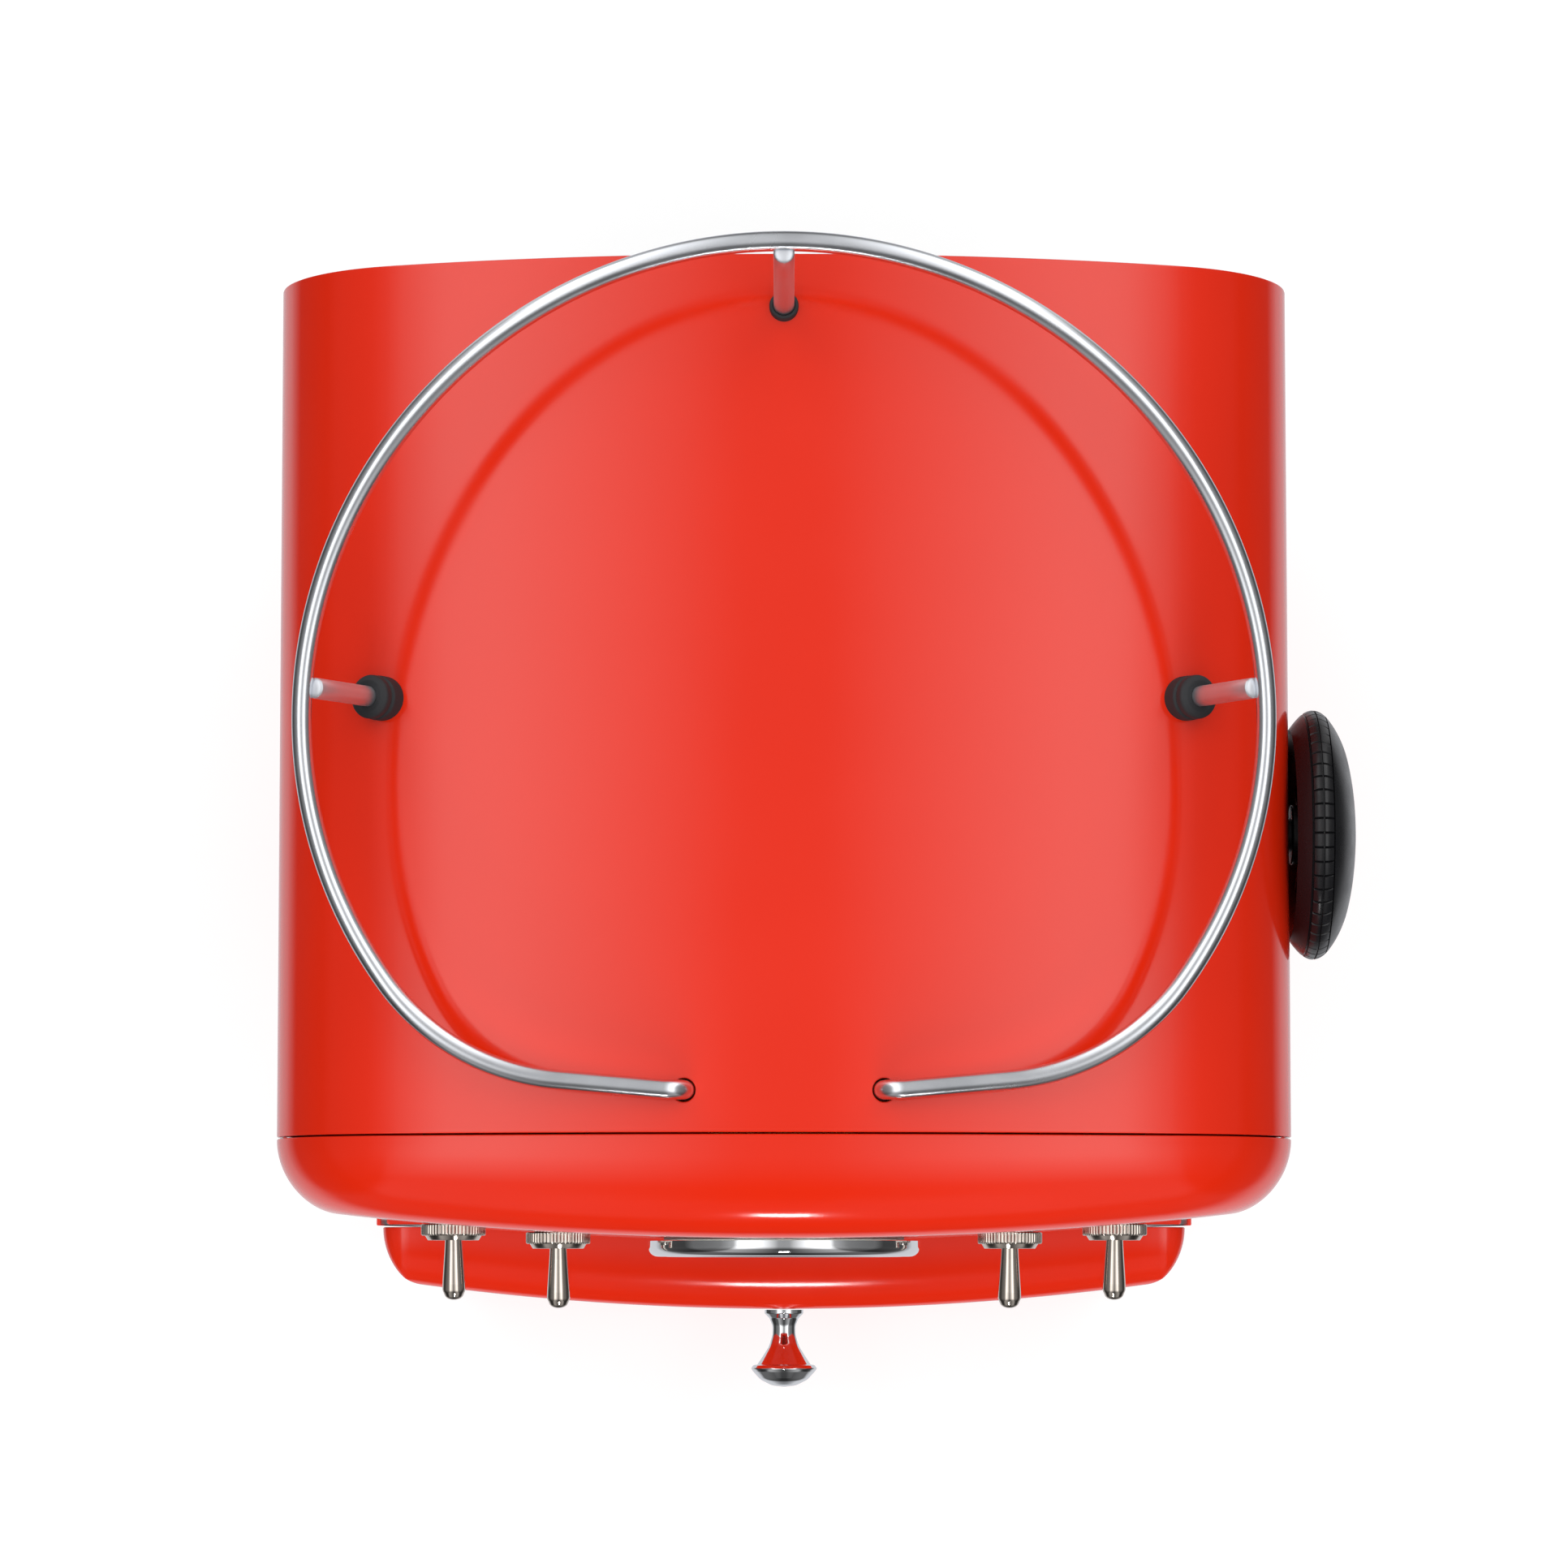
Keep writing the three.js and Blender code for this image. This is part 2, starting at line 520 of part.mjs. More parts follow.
// ---- Dial ----
function addDial() {
  const at = (y) => [0, y, DIAL.z];
  const rearY = -25.3;
  const ringDepth = rearY - DIAL.frontY;
  const bezel = [
    [29.6, 0], [DIAL.radius, 0], [DIAL.radius, ringDepth - 2.2], [DIAL.radius - 0.8, ringDepth - 0.6],
    [DIAL.radius - 2.4, ringDepth], [28.4, ringDepth], [27.8, ringDepth - 1],
    [29.6, ringDepth - 1], [29.6, 0],
  ];
  const housing = [[0, 0], [29.8, 0], [29.8, 22], [28.2, 22], [28.2, 18.5], [0, 18.5]];
  piece("dial_bezel", turned(bezel, at(rearY), FORWARD, 32), CHROME);
  piece("dial_glass", rod(29.2, at(-26.7), FORWARD, 1.3, 32), CLEAR);
  piece("dial_housing", turned(housing, at(-3), FORWARD, 32), DIAL_WHITE);

  // The pointer rests at the cold end of the scale, low on the left.
  const pointer = groupAt(0, -22.2, DIAL.z);
  pointer.rotation.y = THREE.MathUtils.degToRad(-120);
  const blade = lengthwise([[-1.5, -7], [1.5, -7], [0.4, 23], [-0.4, 23]], -1.4, -0.6);
  piece("dial_pointer", join(blade, rod(3, [0, 0, 0], FORWARD, 2.2, 16)), BLACK, pointer);
}

// ---- Toggles: a switch body with a threaded bush, a knurled nut and a bat-shaped lever ----
function addToggle(side, x) {
  const nutRearY = toggleSeat(x) - GAP;
  const nutFrontY = nutRearY - TOGGLE.nutDepth;
  const seatY = -17.5;
  const bushLength = seatY - nutFrontY - 0.8;
  const body = join(box(x - 7, x + 7, seatY, 8, TOGGLE.z - 12, TOGGLE.z + 12),
    rod(5.8, [x, seatY, TOGGLE.z], FORWARD, bushLength, 16));
  const pivotY = nutRearY + 1.5;
  const socket = rod(4.4, [x, pivotY + 4.4, TOGGLE.z], FORWARD, 12, 16);
  piece(`toggle_body_${side}`, cut(body, socket), BLACK);

  const { nutRadius, nutDepth } = TOGGLE;
  const nut = [
    [6.1, 0], [nutRadius, 0], [nutRadius, 2.8], [6.2, nutDepth], [4.6, nutDepth], [4.6, 3.6], [6.1, 3.6],
    [6.1, 0],
  ];
  piece(`toggle_nut_${side}`, turned(nut, [x, nutRearY, TOGGLE.z], FORWARD, 20), NICKEL);

  const tip = pivotY - nutFrontY + TOGGLE.reach;
  const bat = [
    [0, -3], [2.6, -1.6], [3, 0], [2.2, 2], [1.9, 4], [2.05, tip - TOGGLE.reach + 0.5], [2.75, tip - 3.4],
    [2.8, tip - 2.6], [2.3, tip - 1.1], [1.2, tip - 0.2], [0, tip],
  ];
  const lever = groupAt(x, pivotY, TOGGLE.z);
  lever.rotation.x = THREE.MathUtils.degToRad(TOGGLE.tiltDeg);
  piece(`toggle_lever_${side}`, turned(bat, [0, 0, 0], FORWARD, 12), NICKEL, lever);
}

// ---- Steam valve, knob and wand ----
function addSteam() {
  const at = (x) => [x, STEAM.y, STEAM.z];
  const body = join(
    rod(11, at(64), X, 32, 6), rod(8, at(96), X, 26, 20),
    rod(5, [80, STEAM.y, STEAM.z], Z, 16, 12), rod(5, [80, STEAM.y, STEAM.z], DOWN, 16, 12),
  );
  piece("steam_valve_body", cut(body, rod(4.4, at(90), X, 60, 16)), BRASS);
  piece("valve_stem", rod(4, at(90.5), X, 44.6, 16), STEEL);

  const { knobRadius: r, knobInnerX: inner, knobOuterX: outer } = STEAM;
  const depth = outer - inner;
  const knob = [
    [4.3, 0.4], [7.5, 0.4], [7.5, depth - 5], [23.5, depth - 7.5], [25.2, 2.4], [26.2, 0], [28.3, 1.6],
    [30.1, 3.4], [r - 0.1, 5], [r, 6.3], [r - 0.4, 7.6], [29.6, 9], [26.6, 11.2], [22.2, 13.3], [16.5, 14.8],
    [9, 15.9], [0, depth], [0, depth - 6.6], [4.3, depth - 6.6], [4.3, 0.4],
  ];
  piece("steam_knob", turned(knob, at(inner), X, 28), BLACK);

  // The wand hangs from a ball held in a nut under the head, and swings about the nut's axis.
  const { x, y, ballZ, ball, pipe, tipZ } = WAND;
  const nutBase = 161;
  const nutProfile = [
    [4.4, 0], [7.4, 0], [9, 1.6], [9, 17.6], [5.6, 17.6], [5.6, 30], [2, 30], [2, 14], [6.5, 14], [6.5, 1.6],
    [4.4, 1.6], [4.4, 0],
  ];
  piece("wand_nut", turned(nutProfile, [x, y, nutBase], Z, 20), CHROME);
  const sphere = new THREE.SphereGeometry(ball, 16, 10);
  sphere.translate(x, y, ballZ);
  const pipePath = through([x, y, ballZ - 3], [x, y, 150], [x + 4, y - 8, 128], [x + 7, y - 18, tipZ + 8]);
  piece("steam_wand", join(solidOf(sphere), tube(pipePath, pipe, 16, 10)), CHROME);
  const run = new THREE.Vector3(2, -8, -20).normalize();
  const nozzle = [[0, 0], [4.3, 0], [4.3, 6], [3, 9.5], [0, 9.5]];
  const nozzleAt = pipePath.getPoint(1).addScaledVector(run, GAP);
  piece("wand_nozzle", turned(nozzle, nozzleAt.toArray(), run, 16), STEEL);
}

// ---- Boiler, group and water circuit ----
function addBoilerAndGroup() {
  const at = (z) => [0, GROUP.y, z];
  const radius = 36;
  const baseZ = 181.5 + GAP;
  const shellZ = baseZ + 6 + GAP;
  const jacket = [
    [33, 0], [44, 0], [44, 5], [radius, 5], [radius, 68], [30, 74], [0, 75],
    [0, 72], [28, 71], [33, 66], [33, 0],
  ];
  piece("boiler_shell", turned(jacket, at(shellZ), Z, 32), BRASS);
  piece("boiler_base", join(rod(44, at(baseZ), Z, 6, 32), rod(16, at(baseZ - 3), Z, 4, 16)), BRASS);

  const leg = (x, z) => [x, GROUP.y, z];
  const foot = shellZ + 0.6;
  const loop = through(leg(-14, foot), leg(-14, 240), leg(0, 250), leg(14, 240), leg(14, foot));
  piece("heating_element", tube(loop, 4, 16), STEEL);
  const thermostat = [[0, 0], [8, 0], [8, 5], [5, 5], [5, 12], [0, 12]];
  piece("boiler_thermostat", turned(thermostat, at(shellZ + 75 + GAP), Z, 16), BLACK);

  const { outer, mouth, bottomZ, flangeZ } = GROUP;
  const under = flangeZ - bottomZ;
  const collar = turned([
    [mouth, 0], [outer - 1, 0], [outer, 1], [outer, under], [42.5, under], [42.5, under + 5], [0, under + 5],
    [0, 16.3], [33, 16.3], [33, 4], [mouth, 4], [mouth, 0],
  ], at(bottomZ), Z, 32);
  // Two notches let the lugs of a filter holder into the bayonet groove.
  const notches = [0, Math.PI].map((turn) => {
    const corners = arc(0, GROUP.y, 33, turn - 0.45, turn + 0.45, 5);
    return upright([...corners, [0, GROUP.y]], bottomZ - 1, bottomZ + 4.5);
  });
  piece("group_head", cut(collar, ...notches), CHROME);
  piece("group_gasket", turned(ring(25.8, 32.6, 4.6), at(bottomZ + 11.4), Z, 32), RUBBER);
  piece("shower_screen", join(rod(25.3, at(bottomZ + 11.2), Z, 1.4, 32), rod(4, at(bottomZ + 9.6), Z, 2, 12),
    rod(2.4, at(bottomZ + 11), Z, 4.9, 12)), STEEL);
}

function addWaterCircuit() {
  // Vibrating pump in the rear of the base, coil in the middle and a hose tail at each end.
  const alongPump = (x) => [PUMP.x + x, PUMP.y, PUMP.z];
  piece("pump", join(rod(15, alongPump(0), X, 84, 16), rod(19, alongPump(24), X, 40, 16),
    rod(4.5, alongPump(-12), X, 20, 12), rod(4.5, alongPump(82), X, 14, 12)), BLACK);
  piece("solenoid_valve", join(box(-62, -34, 98, 120, 186, 214), rod(7, [-48, 109, 214], Z, 12, 16),
    rod(6, [-48, 109, 182.2], Z, 5, 6)), BLACK);

  const valveAt = (y) => [0, y, TANK_VALVE.z];
  const socketRear = 125.5;
  const tailY = socketRear - 9.5;
  const barrel = rod(9.5, valveAt(socketRear - 15), Y, 15, 16);
  const tail = rod(3.5, [0, tailY, TANK_VALVE.z - 6], DOWN, 12, 12);
  const bore = rod(TANK_VALVE.radius + 0.4, valveAt(116), Y, 20, 16);
  piece("tank_socket", cut(join(barrel, tail), bore), BLACK);

  const suction = through(
    [0, tailY, TANK_VALVE.z - 18.3], [0, tailY, 71], [4, tailY, 67], [24, tailY, 64], [46, PUMP.y, 60],
    [56, PUMP.y, 51], [54, PUMP.y, 42.5], [46, PUMP.y, PUMP.z], [34.5, PUMP.y, PUMP.z],
  );
  piece("suction_hose", tube(suction, 3.2, 26), SILICONE);
  const pressure = through(
    [-74.4, PUMP.y, PUMP.z], [-86, PUMP.y, PUMP.z], [-96, PUMP.y, 50], [-98, PUMP.y, 70], [-98, PUMP.y, 178],
    [-92, 104, 200], [-72, 76, 212], [-56, 60, 214], [-37, 46, 214],
  );
  piece("pressure_hose", tube(pressure, 2.6, 34), SILICONE);
  const steam = through(
    [20, 48, 263.4], [20, 48, 268], [26, 51, 275], [46, 61, 279], [68, 71, 275], [79, STEAM.y, 264],
    [80, STEAM.y, 256], [80, STEAM.y, 247.4],
  );
  piece("steam_pipe", tube(steam, 2.6, 26), COPPER);
  const feed = through(
    [80, STEAM.y, 214.6], [80, STEAM.y, 209], [82, 66, 202], [86, 48, 202], [WAND.x, WAND.y + 2, 200],
    [WAND.x, WAND.y, 196], [WAND.x, WAND.y, 191.4],
  );
  piece("wand_feed_pipe", tube(feed, 2.6, 22), COPPER);
}

// ---- Tank, lifted lid and outlet valve ----
function addTank() {
  const { halfX, frontY, backY, bottomZ, topZ, wall } = TANK;
  const plan = (inset) => box2(-halfX + inset, frontY + inset, halfX - inset, backY - inset, 12 - inset, 4);
  const hollow = upright(plan(wall), bottomZ + wall, topZ + 1);
  const outletHole = rod(4.3, [0, frontY - 2, TANK_VALVE.z], Y, 8, 16);
  piece("water_tank", cut(upright(plan(0), bottomZ, topZ), hollow, outletHole), CLEAR);
  const cover = upright(plan(0), topZ + GAP, topZ + 4);
  const plug = upright(plan(wall + GAP), topZ - 5, topZ + 1);
  const grip = box(-16, 16, 160, 176, topZ + 3, topZ + 11);
  piece("tank_lid", join(cover, plug, grip), BLACK);
  const spigot = [[0, 0], [4, 0], [4, 5.4], [TANK_VALVE.radius, 5.4], [TANK_VALVE.radius, 15], [0, 15]];
  piece("tank_valve", turned(spigot, [0, frontY + 5.1, TANK_VALVE.z], FORWARD, 20), BLACK);
}

// ---- Power inlet: a flanged socket with three blades, no cord ----
function addPowerInlet() {
  const { x, z, halfX, halfZ } = INLET;
  const flangeY = REAR_PANEL.frontY + SHEET + GAP;
  const outline = (hx, hz, radius) => box2(x - hx, z - hz, x + hx, z + hz, radius, 3);
  const body = join(
    lengthwise(outline(halfX - 0.4, halfZ - 0.4, 2), 184, flangeY + 1),
    lengthwise(outline(25, 11.5, 5), flangeY, flangeY + 2.5),
  );
  const cavity = lengthwise(outline(11.8, 8, 2), 192, flangeY + 10);
  const blades = [[0, 2.5], [-6, -2], [6, -2]].map(([dx, dz]) =>
    box(x + dx - 1, x + dx + 1, 191, 203, z + dz - 2, z + dz + 2));
  piece("power_inlet", join(cut(body, cavity), ...blades), BLACK);
}

// ---- Drip drawer: rounded front, pan and pull ----
function drawerOutline(inset) {
  const topZ = BASE_TOP_Z - inset;
  const lowZ = 10.5 + inset;
  const corner = Math.max(8 - inset, 0.4);
  const slant = inset * 0.99;
  return rounded([
    [wallX(10.5) - slant, lowZ, corner, 2],
    [wallX(BASE_TOP_Z) - slant, topZ, corner, 12],
    [-wallX(BASE_TOP_Z) + slant, topZ, corner, 2],
    [-wallX(10.5) + slant, lowZ, corner, 12],
  ], 3);
}

function addDrawer() {
  piece("drawer_front", castFront(BASE_FRONT, drawerOutline, DRAWER_KNOB.z), RED);

  const floorZ = 10.6;
  const rimZ = 52;
  const plan = (inset) => box2(-88 + inset, -18 + inset, 88 - inset, 82 - inset, 8 - inset, 3);
  const basin = cut(upright(plan(0), floorZ, rimZ), upright(plan(1.6), floorZ + 1.6, rimZ + 1));
  const backing = lengthwise(box2(-97, 15, 97, 62, 4, 3), -19.9, -18);
  piece("drip_pan", join(basin, backing), BLACK);

  const { length, radius } = DRAWER_KNOB;
  const pull = [
    [0, 0], [5.4, 0], [5.4, 0.9], [4.2, 2.2], [3.3, 4.2], [3.25, 6.6], [3.9, 9.2], [5.4, 12], [7.4, 14.6],
    [8.4, 15.1], [radius, 15.9], [radius - 0.3, 16.7], [7.4, 18.6], [4.6, 20.6],
    [2, length - 0.15], [0, length],
  ];
  piece("drawer_knob", turned(pull, [0, DRAWER_KNOB.rootY, DRAWER_KNOB.z], FORWARD, 20), CHROME);
}

// Slotted plate that lifts out of the deck.
function addGrille() {
  const slots = range(2).flatMap((column) => range(9).map((row) => {
    const x = column ? 6 : -74;
    const y = GRILLE.frontY + 8 + row * 8.6;
    return box2(x, y, x + 68, y + 4, 1.9, 1);
  }));
  const plate = box2(-GRILLE.halfX, GRILLE.frontY, GRILLE.halfX, GRILLE.backY, GRILLE.radius);
  const lowZ = BASE_TOP_Z - 4.5 + GAP;
  piece("drip_grille", upright(plate, lowZ, lowZ + GRILLE.thickness, slots), STEEL);
}

addShell();
addHeadBezel();
addBellyPan();
addSplashPanel();
addDeck();
addBasePlate();
addRearPanel();
addChassis();
addFeet();
addRail();
addDial();
for (const [side, x] of Object.entries(TOGGLE_X)) addToggle(side, x);
addSteam();
addBoilerAndGroup();
addWaterCircuit();
addTank();
addPowerInlet();
addDrawer();
addGrille();

// The origin goes under the middle of the machine's own box.
const frontmostY = DRAWER_KNOB.rootY - DRAWER_KNOB.length;
machine.position.set((HALF_WIDTH - STEAM.knobOuterX) / 2, -(SHELL_BACK_Y + frontmostY) / 2, 0);

export default machine;
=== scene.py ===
"""Looks for the espresso machine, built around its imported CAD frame.

Lengths in the functions below are millimetres, measured from the middle of the seam between the shell
and the head's cast front: x to the right, y to the back, z up from the table. `place` turns them into
the row frame.
"""

from math import acos, asin, atan2, cos, hypot, pi, radians, sin, sqrt, tan

import bmesh
import bpy
from mathutils import Matrix, Vector
from mathutils.bvhtree import BVHTree
from mathutils.interpolate import poly_3d_calc


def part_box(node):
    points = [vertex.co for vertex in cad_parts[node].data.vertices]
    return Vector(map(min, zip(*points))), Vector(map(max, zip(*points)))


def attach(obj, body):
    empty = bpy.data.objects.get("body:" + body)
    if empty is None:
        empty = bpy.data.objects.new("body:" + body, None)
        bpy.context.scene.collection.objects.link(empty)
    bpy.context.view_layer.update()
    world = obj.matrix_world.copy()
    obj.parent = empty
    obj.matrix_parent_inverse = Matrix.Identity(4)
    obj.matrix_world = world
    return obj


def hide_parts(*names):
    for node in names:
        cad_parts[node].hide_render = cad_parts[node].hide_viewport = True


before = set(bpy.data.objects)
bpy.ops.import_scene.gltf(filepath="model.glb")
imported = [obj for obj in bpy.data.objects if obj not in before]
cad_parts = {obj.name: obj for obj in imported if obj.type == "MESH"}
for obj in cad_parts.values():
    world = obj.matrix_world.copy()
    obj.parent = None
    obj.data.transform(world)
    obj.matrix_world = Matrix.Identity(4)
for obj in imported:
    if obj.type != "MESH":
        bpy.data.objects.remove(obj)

for spare in ("Cube", "Light", "Camera"):
    if spare in bpy.data.objects:
        bpy.data.objects.remove(bpy.data.objects[spare])
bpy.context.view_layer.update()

MM = 0.001
TAU = 2 * pi
QUARTER = pi / 2
SHARP_EDGE = 40  # degrees between faces that are shaded apart

# ---- Driving dimensions ----
SHELL_LOW, SHELL_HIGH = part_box("shell")
BEZEL_LOW, BEZEL_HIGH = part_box("head_bezel")
SEAM_GAP = 0.4
ORIGIN = Vector(((SHELL_LOW.x + SHELL_HIGH.x) / 2, BEZEL_HIGH.y + SEAM_GAP * MM, 0))


def measured(node):
    """A CAD node's box in this script's millimetres, as two lists."""
    return [[round(v / MM, 3) for v in corner - ORIGIN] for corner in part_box(node)]


SHELL = measured("shell")
HALF_WIDTH = SHELL[1][0]
CROWN_Z = SHELL[1][2]
SHELL_BOTTOM_Z = SHELL[0][2]
SHELL_BACK_Y = SHELL[1][1]
BASE_SEAM_Y = SHELL[0][1]
BELLY_Z = measured("head_bezel")[0][2]
BASE_TOP_Z = measured("base_deck")[1][2]
WIDEST_Z = 240
CONTROL_Z = 231  # height of the dial, the toggles and the steam knob
ARCH_RADIUS = 288
WALL_RADIUS = 1307
SHEET = 1.2

HEAD_FRONT = {"edge": 16.5, "bulge": 8, "rounding": 15, "wall": 2, "rear_y": -0.4}
BASE_FRONT = {"edge": 12.4, "bulge": 10.3, "rounding": 12, "wall": 2, "rear_y": -20.4}

# The rail's circles lie in plan, before `squash` shortens them front to back. It sweeps up by `rise`.
RAIL = {"wire": 2.37, "ring": 114.3, "centre": 91, "fillet": 55.4, "fillet_back": 57.5, "squash": 0.958,
        "hook": 5, "end_x": 23.5, "front_y": 10, "front_z": 300.8, "rise": 33.68, "sweep": 2.6}
SIDE_POST = (96.8, 104.8)
REAR_POST_Y = 197.4

DIAL_RADIUS = 33.8
DIAL_FRONT_Y = measured("dial_bezel")[0][1]
TOGGLES = {"far_left": -82, "left": -56, "right": 56, "far_right": 82}
TOGGLE_TILT = radians(12)
STEAM_Y = 75.7
KNOB = measured("steam_knob")
WAND = {"x": 88, "y": 35, "ball_z": 168, "ball": 6, "pipe": 3, "tip_z": 97}
GROUP_Y = 42
GRILLE_CORNER = 10
DRAWER_KNOB_Z = 39
DRAWER_KNOB_ROOT_Y = measured("drawer_knob")[1][1]

X = Vector((1, 0, 0))
Y = Vector((0, 1, 0))
Z = Vector((0, 0, 1))
FORWARD = -Y


def place(point):
    return ORIGIN + Vector(point) * MM


# ---- Outlines: lists of (a, b) ----
def arc(a, b, radius, start, end, steps):
    angles = [start + (end - start) * i / steps for i in range(steps + 1)]
    return [(a + radius * cos(t), b + radius * sin(t)) for t in angles]


def rounded(corners, steps, closed=False):
    """A polyline with each corner (a, b, radius) rounded. The radius is 0 where it is left out."""
    points = []
    count = len(corners)
    for i, corner in enumerate(corners):
        here = Vector(corner[:2])
        radius = corner[2] if len(corner) > 2 else 0
        at_end = not closed and i in (0, count - 1)
        if not radius or at_end:
            points.append(tuple(here))
            continue
        back = (Vector(corners[i - 1][:2]) - here).normalized()
        ahead = (Vector(corners[(i + 1) % count][:2]) - here).normalized()
        half = acos(max(-1, min(1, back.dot(ahead)))) / 2
        centre = here + (back + ahead).normalized() * radius / sin(half)
        first = here + back * radius / tan(half) - centre
        last = here + ahead * radius / tan(half) - centre
        start = atan2(first.y, first.x)
        sweep = (atan2(last.y, last.x) - start + pi) % TAU - pi
        points += arc(centre.x, centre.y, radius, start, start + sweep, steps)
    return points


def box_outline(a0, b0, a1, b1, radius=0, steps=8):
    corners = [(a1, b0, radius), (a1, b1, radius), (a0, b1, radius), (a0, b0, radius)]
    return rounded(corners, steps, closed=True)


def box_loop(low, high, inset, radius, z):
    """A rounded box as a loop at height z, moved in by `inset` from the corners low and high."""
    outline = box_outline(low[0] + inset, low[1] + inset, high[0] - inset, high[1] - inset, radius)
    return [(x, y, z) for x, y in outline]


# ---- Meshes ----
def add(name, data):
    """Puts a mesh, text, lamp or camera into the scene as an object."""
    model = bpy.data.objects.new(name, data)
    bpy.context.scene.collection.objects.link(model)
    return model


def new_object(name, vertices, faces):
    mesh = bpy.data.meshes.new(name)
    mesh.from_pydata([place(v) for v in vertices], [], faces)
    model = add(name, mesh)
    work = bmesh.new()
    work.from_mesh(mesh)
    bmesh.ops.recalc_face_normals(work, faces=work.faces)
    work.to_mesh(mesh)
    work.free()
    return model


def skin(name, loops, wrap=False):
    """A closed skin over loops of equal length, with its ends capped or, if wrap is set, joined."""
    count = len(loops[0])
    rows = list(range(len(loops)))
    pairs = list(zip(rows, rows[1:])) + ([(rows[-1], 0)] if wrap else [])
    faces = []
    for low, high in pairs:
        for i in range(count):
            j = (i + 1) % count
            faces.append((low * count + i, low * count + j, high * count + j, high * count + i))
    if not wrap:
        faces.append(tuple(range(count))[::-1])
        faces.append(tuple(rows[-1] * count + i for i in range(count)))
    return new_object(name, [p for loop in loops for p in loop], faces)


def prism(name, outline, low, high, to_point):
    """An outline extruded from low to high. to_point(a, b, height) gives the 3-D point."""
    return skin(name, [[to_point(a, b, h) for a, b in outline] for h in (low, high)])


def upright(name, outline, z0, z1):
    return prism(name, outline, z0, z1, lambda a, b, h: (a, b, h))


def lengthwise(name, outline, y0, y1):
    return prism(name, outline, y0, y1, lambda a, b, h: (a, h, b))


def crosswise(name, outline, x0, x1):
    return prism(name, outline, x0, x1, lambda a, b, h: (h, a, b))


def axes_for(towards):
    """Two directions square to `towards` and to each other."""
    towards = Vector(towards).normalized()
    side = X if abs(towards.x) < 0.9 else Y
    across = (side - towards * side.dot(towards)).normalized()
    return across, towards.cross(across)


def turned(name, profile, at, towards, segments=96, shape=None):
    """A turned piece: profile is (radius, distance) along `towards`, from the point `at`.

    It starts and ends on the axis, or closes on itself. shape(radius, distance, angle) may bend the radius.
    """
    at, towards = Vector(at), Vector(towards).normalized()
    across, along = axes_for(towards)
    closed = profile[0] == profile[-1] and profile[0][0] > 0
    rings = profile[:-1] if closed else profile
    vertices, rows = [], []
    for radius, distance in rings:
        centre = at + towards * distance
        if radius < 1e-6:
            rows.append([len(vertices)] * segments)
            vertices.append(centre)
            continue
        rows.append(list(range(len(vertices), len(vertices) + segments)))
        for i in range(segments):
            angle = TAU * i / segments
            r = shape(radius, distance, angle) if shape else radius
            vertices.append(centre + (across * cos(angle) + along * sin(angle)) * r)
    faces = []
    for low, high in list(zip(rows, rows[1:])) + ([(rows[-1], rows[0])] if closed else []):
        for i in range(segments):
            j = (i + 1) % segments
            corners = [low[i], low[j], high[j], high[i]]
            face = [v for k, v in enumerate(corners) if v != corners[k - 1]]
            if len(face) > 2:
                faces.append(face)
    return new_object(name, vertices, faces)


def cylinder(name, radius, at, towards, length, segments=48):
    return turned(name, [(0, 0), (radius, 0), (radius, length), (0, length)], at, towards, segments)


def tube(name, points, radius, sides=32, dome=0.0):
    """A round rod along points, with its ends domed by `dome` of the radius."""
    cap_steps = 5
    points = [Vector(p) for p in points]
    runs = [(b - a).normalized() for a, b in zip(points, points[1:])]
    tangents = [runs[0], *[(a + b).normalized() for a, b in zip(runs, runs[1:])], runs[-1]]
    across = axes_for(tangents[0])[0]
    loops = []
    for point, tangent in zip(points, tangents):
        across = (across - tangent * across.dot(tangent)).normalized()
        along = tangent.cross(across)
        turns = [TAU * i / sides for i in range(sides)]
        spokes = [across * cos(t) + along * sin(t) for t in turns]
        loops.append((point, spokes, tangent))
    rings = [[point + s * radius for s in spokes] for point, spokes, _ in loops]
    for end, outwards in ((0, -1), (-1, 1)):
        point, spokes, tangent = loops[end]
        cap = []
        for step in range(1, cap_steps):
            t = QUARTER * step / cap_steps
            lift = tangent * outwards * radius * dome * sin(t)
            cap.append([point + lift + s * radius * cos(t) for s in spokes])
        rings = cap[::-1] + rings if end == 0 else rings + cap
    return skin(name, rings)


def settle(model):
    """Applies a model's modifiers to its mesh."""
    graph = bpy.context.evaluated_depsgraph_get()
    mesh = bpy.data.meshes.new_from_object(model.evaluated_get(graph))
    model.modifiers.clear()
    model.data = mesh
    return model


def carve(model, *cutters):
    """Cuts the cutters out of a model and removes them."""
    for cutter in cutters:
        change = model.modifiers.new("carve", "BOOLEAN")
        change.operation = "DIFFERENCE"
        change.solver = "EXACT"
        change.object = cutter
    settle(model)
    for cutter in cutters:
        bpy.data.objects.remove(cutter)
    return model


def join(name, *models):
    """One object out of several, which keep their own closed skins."""
    work = bmesh.new()
    for model in models:
        work.from_mesh(model.data)
    mesh = bpy.data.meshes.new(name)
    work.to_mesh(mesh)
    work.free()
    for model in models:
        bpy.data.objects.remove(model)
    return add(name, mesh)


def soften(model, width, segments=3, angle=35):
    """Rounds the edges sharper than `angle` degrees."""
    bevel = model.modifiers.new("soften", "BEVEL")
    bevel.width = width * MM
    bevel.segments = segments
    bevel.limit_method = "ANGLE"
    bevel.angle_limit = radians(angle)
    bevel.use_clamp_overlap = False
    return settle(model)


def shade(mesh, sharp):
    mesh.polygons.foreach_set("use_smooth", [True] * len(mesh.polygons))
    mesh.set_sharp_from_angle(angle=radians(sharp))


def uncut(model):
    """A copy of a model's mesh, shaded, for `follow` to take normals from after cuts."""
    mesh = model.data.copy()
    shade(mesh, SHARP_EDGE)
    return mesh


